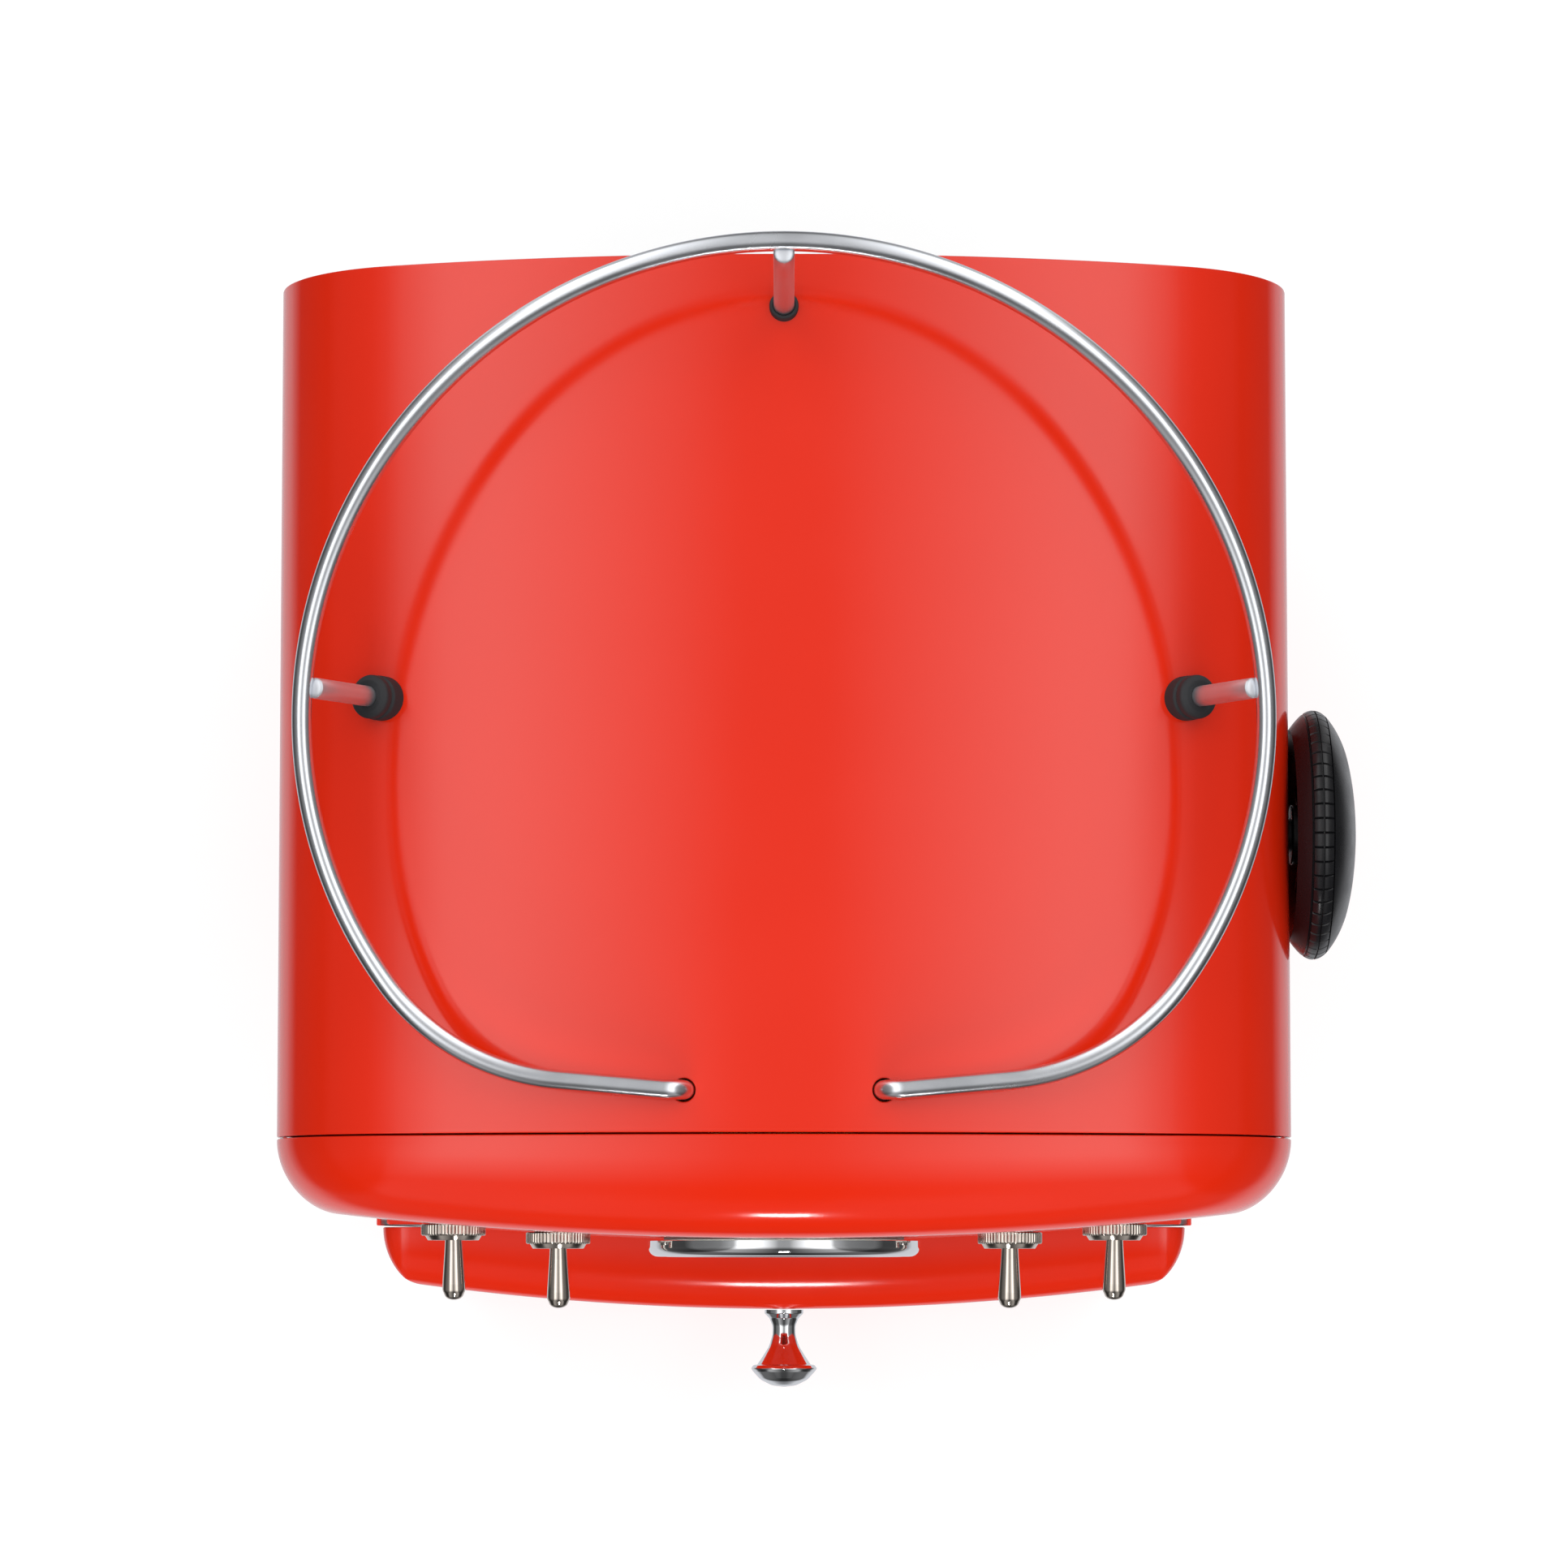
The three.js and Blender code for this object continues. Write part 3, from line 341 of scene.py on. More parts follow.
def follow(mesh, guide):
    """Gives a cut mesh the smooth normals of its uncut guide, wherever their faces still agree."""
    reach, same_way = 0.02 * MM, 0.95
    corners = [v.co for v in guide.vertices]
    tree = BVHTree.FromPolygons(corners, [p.vertices for p in guide.polygons])
    normals = [Vector(c.vector) for c in mesh.corner_normals]
    for face in mesh.polygons:
        for loop in face.loop_indices:
            at = mesh.vertices[mesh.loops[loop].vertex_index].co
            near = [hit for hit in tree.find_nearest_range(at, reach) if hit[1].dot(face.normal) > same_way]
            if not near:
                continue
            under = guide.polygons[max(near, key=lambda hit: hit[1].dot(face.normal))[2]]
            weights = poly_3d_calc([corners[v] for v in under.vertices], at)
            shares = [guide.corner_normals[i].vector * w for i, w in zip(under.loop_indices, weights)]
            normals[loop] = sum(shares, Vector()).normalized()
    mesh.normals_split_custom_set(normals)


def finish_piece(model, material, body="machine", node=None, sharp=SHARP_EDGE, guide=None, flat=False):
    """Shades a piece, gives it its material and puts it on its body, in place of a CAD node.

    flat keeps a plate's large faces flat beside its rounded edges.
    """
    mesh = model.data
    shade(mesh, sharp)
    if guide:
        follow(mesh, guide)
    if flat:
        weigh = model.modifiers.new("weigh", "WEIGHTED_NORMAL")
        weigh.weight = 100
        weigh.keep_sharp = True
        settle(model)
        mesh = model.data
    mesh.materials.clear()
    mesh.materials.append(material)
    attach(model, body)
    if node:
        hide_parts(node)
    return model


# ---- Materials ----
def spread(nodes, links, source, low, high, to_low, to_high):
    """Maps low..high of a number onto to_low..to_high."""
    node = nodes.new("ShaderNodeMapRange")
    for key, value in zip(("From Min", "From Max", "To Min", "To Max"), (low, high, to_low, to_high)):
        node.inputs[key].default_value = value
    links.new(source, node.inputs["Value"])
    return node.outputs["Result"]


NOISE_LOW, NOISE_HIGH = 0.3, 0.7  # the part of a noise pattern's range that it mostly fills


class Surface:
    """A procedural material: a Principled shader and the nodes that vary it."""

    def __init__(self, name, **sockets):
        self.material = bpy.data.materials.new(name)
        self.material.use_nodes = True
        self.nodes = self.material.node_tree.nodes
        self.links = self.material.node_tree.links
        self.shader = self.nodes["Principled BSDF"]
        for key, value in sockets.items():
            self.shader.inputs[key.replace("_", " ").title().replace("Ior", "IOR")].default_value = value
        self.place = self.nodes.new("ShaderNodeTexCoord").outputs["Object"]
        self.height = None

    def stretched(self, scale):
        mapping = self.nodes.new("ShaderNodeMapping")
        mapping.inputs["Scale"].default_value = scale
        self.links.new(self.place, mapping.inputs["Vector"])
        return mapping.outputs["Vector"]

    def noise(self, scale, detail=3, stretch=(1, 1, 1)):
        noise = self.nodes.new("ShaderNodeTexNoise")
        noise.inputs["Scale"].default_value = scale
        noise.inputs["Detail"].default_value = detail
        self.links.new(self.stretched(stretch), noise.inputs["Vector"])
        return noise.outputs["Fac"]

    def vary(self, socket, pattern, low, high, start=NOISE_LOW, end=NOISE_HIGH):
        """Drives a number on the shader from low to high over a pattern."""
        result = spread(self.nodes, self.links, pattern, start, end, low, high)
        self.links.new(result, self.shader.inputs[socket])
        return self

    def tint(self, pattern, first, second):
        """Blends the base colour between two colours over a pattern."""
        ramp = self.nodes.new("ShaderNodeValToRGB")
        stops = ((NOISE_LOW, first), (NOISE_HIGH, second))
        for element, (position, color) in zip(ramp.color_ramp.elements, stops):
            element.position = position
            element.color = (*color, 1)
        self.links.new(pattern, ramp.inputs["Fac"])
        self.links.new(ramp.outputs["Color"], self.shader.inputs["Base Color"])
        return self

    def bump(self, pattern, strength, distance):
        """Raises the surface over a pattern, by `distance` millimetres at full strength."""
        bump = self.nodes.new("ShaderNodeBump")
        bump.inputs["Strength"].default_value = strength
        bump.inputs["Distance"].default_value = distance * MM
        self.links.new(pattern, bump.inputs["Height"])
        if self.height:
            self.links.new(self.height, bump.inputs["Normal"])
        self.height = bump.outputs["Normal"]
        self.links.new(self.height, self.shader.inputs["Normal"])
        return self


def enamel():
    s = Surface("red_enamel", specular_ior_level=0.55)
    s.tint(s.noise(18, 4), (0.66, 0.0180, 0.0024), (0.68, 0.0188, 0.0027))
    s.vary("Roughness", s.noise(35, 3), 0.09, 0.13)
    return s.bump(s.noise(420, 2), 0.05, 0.02).material


def chrome(name, color=(0.80, 0.81, 0.83), low=0.03, high=0.07):
    s = Surface(name, metallic=1.0)
    s.tint(s.noise(60, 3), color, tuple(0.96 * c for c in color))
    s.vary("Roughness", s.noise(140, 4), low, high)
    return s.bump(s.noise(900, 2), 0.03, 0.01).material


def drawn_wire(name, low, high):
    """Satin plated wire: fine scratches and a broad, soft shine."""
    s = Surface(name, metallic=1.0)
    s.tint(s.noise(45, 3), (0.74, 0.76, 0.80), (0.78, 0.80, 0.84))
    s.vary("Roughness", s.noise(90, 3), low, high)
    return s.bump(s.noise(1500, 2), 0.06, 0.01).material


def brushed(name, color, grain=(1, 40, 40), low=0.24, high=0.38):
    s = Surface(name, metallic=1.0)
    lines = s.noise(60, 6, grain)
    s.tint(lines, color, tuple(0.86 * c for c in color))
    s.vary("Roughness", lines, low, high)
    return s.bump(lines, 0.15, 0.02).material


def moulded(name, color, roughness, grain=700, strength=0.12, shine=0.5):
    s = Surface(name, specular_ior_level=shine)
    s.tint(s.noise(30, 3), color, tuple(1.25 * c for c in color))
    s.vary("Roughness", s.noise(160, 3), roughness - 0.05, roughness + 0.05)
    return s.bump(s.noise(grain, 3), strength, 0.04).material


def clear(name, color, roughness, thickness_tint):
    s = Surface(name, transmission_weight=1.0, ior=1.46)
    s.tint(s.noise(25, 2), color, thickness_tint)
    return s.vary("Roughness", s.noise(120, 3), roughness, roughness + 0.04).material


RED = enamel()
CHROME = chrome("chrome")
NICKEL = chrome("nickel", (0.70, 0.62, 0.55), 0.09, 0.15)
WIRE = drawn_wire("satin_wire", 0.22, 0.28)
POST = drawn_wire("satin_post", 0.42, 0.5)
STEEL = brushed("brushed_steel", (0.62, 0.62, 0.63))
BRASS = brushed("turned_brass", (0.72, 0.50, 0.22), (30, 30, 1), 0.22, 0.34)
COPPER = brushed("drawn_copper", (0.78, 0.40, 0.26), (20, 20, 4), 0.2, 0.3)
BLACK = moulded("black_plastic", (0.011, 0.011, 0.012), 0.34)
GLOSS_BLACK = moulded("gloss_black", (0.006, 0.006, 0.007), 0.28, 500, 0.06, shine=0.4)
POWDER = moulded("black_powder_coat", (0.014, 0.014, 0.015), 0.5, 380, 0.5)
RUBBER = moulded("black_rubber", (0.013, 0.014, 0.016), 0.66, 520, 0.3)
SILICONE = moulded("milky_silicone", (0.62, 0.60, 0.55), 0.45, 300, 0.1)
DIAL_WHITE = moulded("dial_white", (0.78, 0.76, 0.70), 0.5, 600, 0.05)
DIAL_INK = moulded("dial_ink", (0.02, 0.02, 0.022), 0.5, 600, 0.05)
DIAL_RED = moulded("dial_red", (0.55, 0.02, 0.01), 0.4, 600, 0.05)
GLASS = clear("dial_glass", (0.97, 0.98, 0.98), 0.0, (0.95, 0.97, 0.97))
TANK_CLEAR = clear("tank_plastic", (0.80, 0.86, 0.89), 0.10, (0.74, 0.81, 0.85))


# ---- The head's oval and the walls below it ----
def shoulder_radius(rise):
    fall = ARCH_RADIUS - rise
    return (ARCH_RADIUS**2 - HALF_WIDTH**2 - fall**2) / (2 * (ARCH_RADIUS - HALF_WIDTH))


def arch_points(edge_z, side, inset):
    """Shoulder, arch and shoulder, right to left: over the widest line for side 1, under it for -1."""
    shoulder_steps, arch_steps = 28, 64
    rise = abs(edge_z - WIDEST_Z)
    shoulder = shoulder_radius(rise)
    shoulder_x = HALF_WIDTH - shoulder
    arch_z = rise - ARCH_RADIUS
    meet = atan2(shoulder_x, -arch_z)
    points = [
        *arc(shoulder_x, 0, shoulder - inset, 0, QUARTER - meet, shoulder_steps),
        *arc(0, arch_z, ARCH_RADIUS - inset, QUARTER - meet, QUARTER + meet, arch_steps)[1:-1],
        *arc(-shoulder_x, 0, shoulder - inset, QUARTER + meet, pi, shoulder_steps),
    ]
    return [(x, WIDEST_Z + side * z) for x, z in points]


def head_outline(inset):
    return arch_points(CROWN_Z, 1, inset) + arch_points(BELLY_Z, -1, inset)[::-1][1:-1]


def wall_x(z, inset=0.0):
    return HALF_WIDTH - WALL_RADIUS + sqrt((WALL_RADIUS - inset) ** 2 - (WIDEST_Z - z) ** 2)


def wall_points(inset, bottom_z):
    steps = 36
    heights = [bottom_z + (WIDEST_Z - bottom_z) * i / steps for i in range(steps)]
    return [(wall_x(z, inset), z) for z in heights]


def archway(inset, bottom_z=SHELL_BOTTOM_Z):
    right = wall_points(inset, bottom_z)
    return [*right, *arch_points(CROWN_Z, 1, inset), *[(-x, z) for x, z in right][::-1]]


def crown_height(x):
    """Height of the crown's outer face over x."""
    shoulder = shoulder_radius(CROWN_Z - WIDEST_Z)
    shoulder_x = HALF_WIDTH - shoulder
    meet_x = ARCH_RADIUS * shoulder_x / (ARCH_RADIUS - shoulder)
    if abs(x) < meet_x:
        return CROWN_Z - ARCH_RADIUS + sqrt(ARCH_RADIUS**2 - x**2)
    return WIDEST_Z + sqrt(shoulder**2 - (abs(x) - shoulder_x) ** 2)


def folded_sheet(name, outer, inner, y0, y1):
    """A bent sheet that runs from y0 to y1 between two open outlines of equal length."""
    count = len(outer)
    vertices = [(x, y, z) for y in (y0, y1) for line in (outer, inner) for x, z in line]
    faces = []
    for i in range(count - 1):
        for row, other in ((0, 2), (2, 3), (3, 1), (1, 0)):
            a, b = row * count + i, other * count + i
            faces.append((a, a + 1, b + 1, b))
    for i in (0, count - 1):
        faces.append((i, count + i, 3 * count + i, 2 * count + i))
    return new_object(name, vertices, faces)


# ---- Cup rail ----
def on_rail(x, back):
    """A point of the rail: x across, `back` along its plan from the front run."""
    share = max(back, 0) / (RAIL["centre"] + RAIL["ring"])
    return Vector((x, RAIL["front_y"] + back * RAIL["squash"],
                   RAIL["front_z"] + RAIL["rise"] * share ** RAIL["sweep"]))


def rail_path():
    hook, fillet, ring = RAIL["hook"], RAIL["fillet"], RAIL["ring"]
    turn = acos((RAIL["centre"] - RAIL["fillet_back"]) / (ring - fillet))
    fillet_x = (ring - fillet) * sin(turn)
    hook_x = RAIL["end_x"] + hook
    # The front run leaves the hook at the slight angle that just touches the fillet's circle.
    run_x, run_back = fillet_x - hook_x, RAIL["fillet_back"]
    tilt = atan2(run_back, run_x) - asin(fillet / hypot(run_x, run_back))
    ends = [(RAIL["end_x"], -hook - 9), *arc(hook_x, -hook, hook, pi, QUARTER, 14)]
    half = [Vector((x, RAIL["front_y"], RAIL["front_z"] + lift)) for x, lift in ends]
    plan = arc(fillet_x, RAIL["fillet_back"], fillet, tilt - QUARTER, turn - QUARTER, 40)
    plan += arc(0, RAIL["centre"], ring, turn - QUARTER, QUARTER, 110)[1:]
    half += [on_rail(x, back) for x, back in plan]
    return half + [Vector((-p.x, p.y, p.z)) for p in half[-2::-1]]


def rail_post(side):
    """A post's foot on the crown and its top against the ring. side is 1, -1 or 0 for the rear one."""
    short = 2.9
    if side:
        back = (SIDE_POST[1] - RAIL["front_y"]) / RAIL["squash"]
        reach = sqrt(RAIL["ring"] ** 2 - (back - RAIL["centre"]) ** 2) - short
        foot = Vector((side * SIDE_POST[0], SIDE_POST[1], crown_height(SIDE_POST[0])))
        return foot, on_rail(side * reach, back)
    return Vector((0, REAR_POST_Y, CROWN_Z)), on_rail(0, RAIL["centre"] + RAIL["ring"]) - Y * short


def make_rail():
    bore, socket = 2.55, 6
    finish_piece(tube("cup_rail_wire", rail_path(), RAIL["wire"]), WIRE, node="cup_rail")
    for name, side in (("left", -1), ("right", 1), ("rear", 0)):
        foot, top = rail_post(side)
        run = (top - foot).normalized()
        ends = [foot - run * socket, foot + run * 8, top - run * 8, top]
        post = tube(f"rail_post_{name}", ends, RAIL["wire"] + 0.1, dome=0.3)
        finish_piece(post, POST)

    sleeve = rounded([
        (bore, -1.5), (5.4, -1.5), (5.4, 2.7, 0.7), (4.5, 3.3, 0.4), (5.3, 3.9, 0.6), (5.3, 5.8, 1.1),
        (3.9, 6.6, 0.9), (bore, 6.5), (bore, -1.5),
    ], 5)
    for name, side in (("left", -1), ("right", 1)):
        foot, top = rail_post(side)
        grommet = turned(f"grommet_{name}", sleeve, foot, top - foot, 64)
        finish_piece(grommet, RUBBER, node=f"rail_grommet_{name}")
    foot, top = rail_post(0)
    lip = rounded([
        (bore, -1.6), (3.5, -1.6), (3.5, 1.7, 0.4), (bore, 1.7, 0.3), (bore, -1.6),
    ], 4)
    washer = turned("grommet_rear", lip, foot, top - foot, 48)
    finish_piece(washer, RUBBER, node="rail_grommet_rear")


# ---- Shell and panels ----
def open_front():
    """Side view of what is open in front: over the base, under the head and ahead of the head's seam."""
    head_edge_z = 226
    column_y = 88
    far = -60
    return rounded([
        (far, BASE_TOP_Z), (column_y, BASE_TOP_Z, 35), (column_y, head_edge_z, 40), (0, head_edge_z),
        (0, CROWN_Z + 20), (far, CROWN_Z + 20),
    ], 28, closed=True)


def make_shell():
    shell = folded_sheet("shell_sheet", archway(0), archway(SHEET), BASE_SEAM_Y, SHELL_BACK_Y)
    guide = uncut(shell)
    rail_hole, stem_hole = 2.8, 6.5
    cutters = [crosswise("cut_front", open_front(), -HALF_WIDTH - 10, HALF_WIDTH + 10)]
    for side in (1, -1):
        hole_at = (side * (RAIL["end_x"] + 0.3), RAIL["front_y"], CROWN_Z - 12)
        cutters.append(cylinder("cut_rail", rail_hole, hole_at, Z, 20))
    cutters.append(cylinder("cut_stem", stem_hole, (HALF_WIDTH - 12, STEAM_Y, CONTROL_Z), X, 20))
    carve(shell, *cutters)
    soften(shell, 0.35, 2, 40)
    finish_piece(shell, RED, node="shell", guide=guide)


def front_depth(form, x):
    return form["edge"] + form["bulge"] * (1 - (x / HALF_WIDTH) ** 2)


def cast_front(name, form, outline, centre_z):
    """A cast front that swells forward from an outline, hollow behind."""

    def forward(x, thickness, share=1.0):
        return form["rear_y"] - (front_depth(form, x) - thickness) * share

    def rings(thickness, edge_steps, face_steps):
        loops = []
        for i in range(edge_steps + 1):
            angle = QUARTER * i / edge_steps
            inset = thickness + form["rounding"] * (1 - cos(angle))
            loops.append([(x, forward(x, thickness, sin(angle)), z) for x, z in outline(inset)])
        rim = [(x, z) for x, _, z in loops[-1]]
        for i in range(1, face_steps + 1):
            share = 1 - i / (face_steps + 1)
            face = [(x * share, centre_z + (z - centre_z) * share) for x, z in rim]
            loops.append([(x, forward(x, thickness), z) for x, z in face])
        return loops

    outer = rings(0, 24, 16)
    inner = rings(form["wall"], 8, 4)
    # The rear edge turns in by a hair, which shows as the seam's dark line.
    lip = [(x, form["rear_y"], z) for x, z in outline(0.25)]
    first = [(x, y - 0.25, z) for x, y, z in outer[0]]
    return skin(name, outer[::-1][:-1] + [first, lip] + inner)


def make_head():
    front = cast_front("head_front", HEAD_FRONT, head_outline, (CROWN_Z + BELLY_Z) / 2)
    guide = uncut(front)
    dial_hole, toggle_hole, toggle_seat = 30.4, 6.2, 8.3
    cutters = [cylinder("cut_dial", dial_hole, (0, 0, CONTROL_Z), FORWARD, 40, 96)]
    for x in TOGGLES.values():
        cutters.append(cylinder("cut_toggle", toggle_hole, (x, 0, CONTROL_Z), FORWARD, 40))
        seat_y = HEAD_FRONT["rear_y"] - front_depth(HEAD_FRONT, abs(x) + 8)
        cutters.append(cylinder("cut_seat", toggle_seat, (x, seat_y, CONTROL_Z), FORWARD, 10, 72))
    carve(front, *cutters)
    finish_piece(front, RED, node="head_bezel", guide=guide)


def make_belly():
    inset, lip_z = 1.8, WIDEST_Z + 1
    lines = []
    for extra in (0, SHEET):
        edge = wall_x(lip_z, inset + extra)
        lines.append([(edge, lip_z), *arch_points(BELLY_Z, -1, inset + extra), (-edge, lip_z)])
    belly = folded_sheet("belly_sheet", *lines, 0.2, 87.7)
    guide = uncut(belly)
    wand_hole = cylinder("cut_wand", 6.3, (WAND["x"], WAND["y"], BELLY_Z), Z, 30)
    group_hole = cylinder("cut_group", 37, (0, GROUP_Y, BELLY_Z - 10), Z, 30, 96)
    notch = cylinder("cut_valve", 9, (HALF_WIDTH - 12, STEAM_Y, CONTROL_Z), X, 20)
    carve(belly, wand_hole, group_hole, notch)
    soften(belly, 0.3, 2, 40)
    finish_piece(belly, RED, node="belly_pan", guide=guide)


def deck_loop(grow, z):
    """The opening round the grille, `grow` outside its edge."""
    low, high = measured("drip_grille")
    return box_loop(low, high, -grow, GRILLE_CORNER + grow, z)


def make_base():
    low, high = measured("base_deck")

    def rim(inset, z):
        return box_loop(low, high, inset, 0.8, z)

    top = BASE_TOP_Z
    under = top - SHEET
    loops = [
        rim(0, under), rim(0, top - 0.5), rim(0.15, top - 0.15), rim(0.5, top),
        deck_loop(1.3, top), deck_loop(0.8, top - 0.2), deck_loop(0.5, top - 0.7),
        deck_loop(0.5, top - 4.5), deck_loop(-4, top - 4.5), deck_loop(-4, top - 5.5),
        deck_loop(1.7, top - 5.5), deck_loop(1.7, under),
    ]
    finish_piece(skin("deck_plate", loops, wrap=True), RED, node="base_deck", flat=True)


def make_splash():
    splash_low, splash_high = measured("splash_panel")
    wall = wall_points(SHEET + 0.3, 11)
    roof = [p for p in arch_points(BELLY_Z, -1, 1.8 + SHEET + 0.7) if p[1] < WIDEST_Z - 2]
    outline = wall + roof + [(-x, z) for x, z in wall][::-1]
    splash = lengthwise("splash_sheet", outline, splash_low[1], splash_high[1])
    finish_piece(splash, RED, node="splash_panel", flat=True)


def make_grille():
    low, high = measured("drip_grille")
    edge = box_outline(*low[:2], *high[:2], GRILLE_CORNER, 12)
    plate = upright("grille_plate", edge, low[2], high[2])
    length, width, pitch = 68, 4, 8.6
    slots = []
    for x in (-74, 6):
        for row in range(9):
            y = low[1] + 8 + row * pitch
            slot = box_outline(x, y, x + length, y + width, 1.95)
            slots.append(upright("cut_slot", slot, low[2] - 2, high[2] + 2))
    carve(plate, join("cut_slots", *slots))
    soften(plate, 0.35, 2)
    finish_piece(plate, STEEL, "grille", "drip_grille", flat=True)


def make_feet():
    profile = rounded([(0, 0), (9.5, 0, 0.8), (11, 1.6, 1), (10, 7.7, 1.2), (0, 7.7)], 5)
    for end, y in (("front", 5), ("rear", 185)):
        for side, x in (("left", -80), ("right", 80)):
            foot = turned(f"rubber_foot_{end}_{side}", profile, (x, y, 0), Z, 48)
            finish_piece(foot, RUBBER, node=f"foot_{end}_{side}")


# ---- Drawer ----
def drawer_outline(inset):
    low_z, top_z = SHELL_BOTTOM_Z + 2.5, BASE_TOP_Z
    radius = max(8 - inset, 0.4)
    low_x, top_x = wall_x(low_z) - inset * 0.99, wall_x(top_z) - inset * 0.99
    corners = rounded([
        (low_x, low_z + inset, radius), (top_x, top_z - inset, radius),
        (-top_x, top_z - inset, radius), (-low_x, low_z + inset, radius),
    ], 10, closed=True)
    runs = [8, 40, 8, 40]
    points = []
    for i, splits in enumerate(runs):
        points += corners[i * 11:(i + 1) * 11]
        here, ahead = Vector(points[-1]), Vector(corners[(i + 1) * 11 % len(corners)])
        points += [tuple(here.lerp(ahead, k / splits)) for k in range(1, splits)]
    return points


def make_drawer():
    front = cast_front("drawer_face", BASE_FRONT, drawer_outline, DRAWER_KNOB_Z)
    finish_piece(front, RED, "drawer", "drawer_front")

    low = measured("drip_pan")[0]
    floor, rim, wall = low[2], 52, 1.6

    def pan(inset, z):
        return box_loop((-88, -18), (88, 82), inset, 8 - min(inset, 6), z)

    basin = skin("pan_basin", [
        pan(1.6, floor), pan(0.5, floor + 0.5), pan(0, floor + 1.6), pan(0, rim - 0.5), pan(0.4, rim),
        pan(wall - 0.4, rim), pan(wall, rim - 0.5), pan(wall, floor + 3), pan(wall + 0.5, floor + 2),
        pan(wall + 1.4, floor + 1.6),
    ])
    backing = lengthwise("pan_backing", box_outline(-97, 15, 97, 62, 4), -19.9, -18)
    soften(backing, 0.4)
    finish_piece(join("drip_pan_tray", basin, backing), BLACK, "drawer", "drip_pan")

    pull = rounded([
        (0, 0), (5.45, 0), (5.45, 1.0, 0.45), (4.1, 2.4, 1.5), (3.2, 4.6, 3), (3.25, 7, 6), (4.2, 10.2, 8),
        (6.1, 13.2, 10), (7.5, 15.3, 0.3), (8.6, 15.5, 0.3), (9.3, 16.4, 0.35), (8.7, 17.3, 1.2),
        (6.6, 19.6, 4.5), (3.4, 21.2, 5), (0, 21.6),
    ], 7)
    knob = turned("pull_knob", pull, (0, DRAWER_KNOB_ROOT_Y, DRAWER_KNOB_Z), FORWARD)
    finish_piece(knob, CHROME, "drawer", "drawer_knob")


# ---- Dial ----
def make_dial():
    rear_y = measured("dial_bezel")[1][1]
    depth = rear_y - DIAL_FRONT_Y
    bezel = rounded([
        (29.6, 0), (DIAL_RADIUS, 0), (DIAL_RADIUS, depth - 0.1, 2.6), (29.4, depth - 0.1, 0.5),
        (28.2, depth - 1.3, 0.6), (27.8, depth - 1.6), (29.6, depth - 1.6), (29.6, 0),
    ], 9)
    ring = turned("gauge_ring", bezel, (0, rear_y, CONTROL_Z), FORWARD, 128)
    finish_piece(ring, CHROME, node="dial_bezel")

    glass_y = measured("dial_glass")[1][1]
    window = rounded([(0, 0), (29.1, 0, 0.3), (29.1, 1.2, 0.3), (0, 1.3)], 4)
    finish_piece(turned("gauge_glass", window, (0, glass_y, CONTROL_Z), FORWARD, 96), GLASS,
                 node="dial_glass")

    low, high = measured("dial_housing")
    length = high[1] - low[1]
    can = [(0, 0), (29.8, 0), (29.8, length), (28.2, length), (28.2, length - 3.5), (0, length - 3.5)]
    housing = turned("gauge_can", can, (0, high[1], CONTROL_Z), FORWARD)
    finish_piece(housing, DIAL_WHITE, node="dial_housing")
    make_scale(low[1] + 3.5 - 0.05)

    pivot_y = -22.2
    blade = [(-1.3, -8), (1.3, -8), (1.0, 4), (0.35, 22), (0, 23), (-0.35, 22), (-1.0, 4)]
    turn = Matrix.Rotation(radians(-120), 3, "Y")

    def swung(a, b, h):
        return turn @ Vector((a, 0, b)) + Vector((0, pivot_y + h, CONTROL_Z))

    needle = prism("needle_blade", blade, -1.3, -0.8, swung)
    cap = rounded([(0, 0), (2.9, 0), (2.9, 2.1, 0.9), (0, 2.2)], 5)
    hub = turned("needle_hub", cap, (0, pivot_y, CONTROL_Z), FORWARD, 40)
    finish_piece(join("gauge_needle", needle, hub), BLACK, "pointer", "dial_pointer")


def make_scale(face_y):
    """Ticks and plain numbers, from 0 low on the left, clockwise to 120 low on the right."""
    start, turn = -120, 4  # degrees from straight up, and from tick to tick
    marks, hot = [], []
    for step in range(61):
        angle = radians(start + turn * step)
        major = step % 10 == 0
        inner, width = (21.5, 0.55) if major else (23.4, 0.28)
        along = Vector((sin(angle), 0, cos(angle)))
        across = Vector((cos(angle), 0, -sin(angle)))

        def tick(a, b, h, along=along, across=across):
            return along * b + across * a + Vector((0, face_y + h, CONTROL_Z))

        outline = [(-width, inner), (width, inner), (width, 25.6), (-width, 25.6)]
        bar = prism("tick", outline, -0.1, 0, tick)
        (hot if step > 50 else marks).append(bar)
    finish_piece(join("scale_ticks", *marks), DIAL_INK)
    finish_piece(join("scale_hot_ticks", *hot), DIAL_RED)

    digits, radius = [], 17.2
    for step in range(7):
        angle = radians(start + 10 * turn * step)
        text = bpy.data.curves.new(f"number_{step}", "FONT")
        text.body = str(20 * step)
        text.size = 5.2 * MM
        text.extrude = 0.05 * MM
        text.align_x = "CENTER"
        text.align_y = "CENTER"
        number = add(f"number_{step}", text)
        number.rotation_euler = (QUARTER, 0, 0)
        across, up = radius * sin(angle), radius * cos(angle)
        number.location = place((across, face_y - 0.05, CONTROL_Z + up))
        bpy.context.view_layer.update()
        mesh = bpy.data.meshes.new_from_object(number)
        mesh.transform(number.matrix_world)
        bpy.data.objects.remove(number)
        digits.append(add(f"digits_{step}", mesh))
    finish_piece(join("scale_numbers", *digits), DIAL_INK)


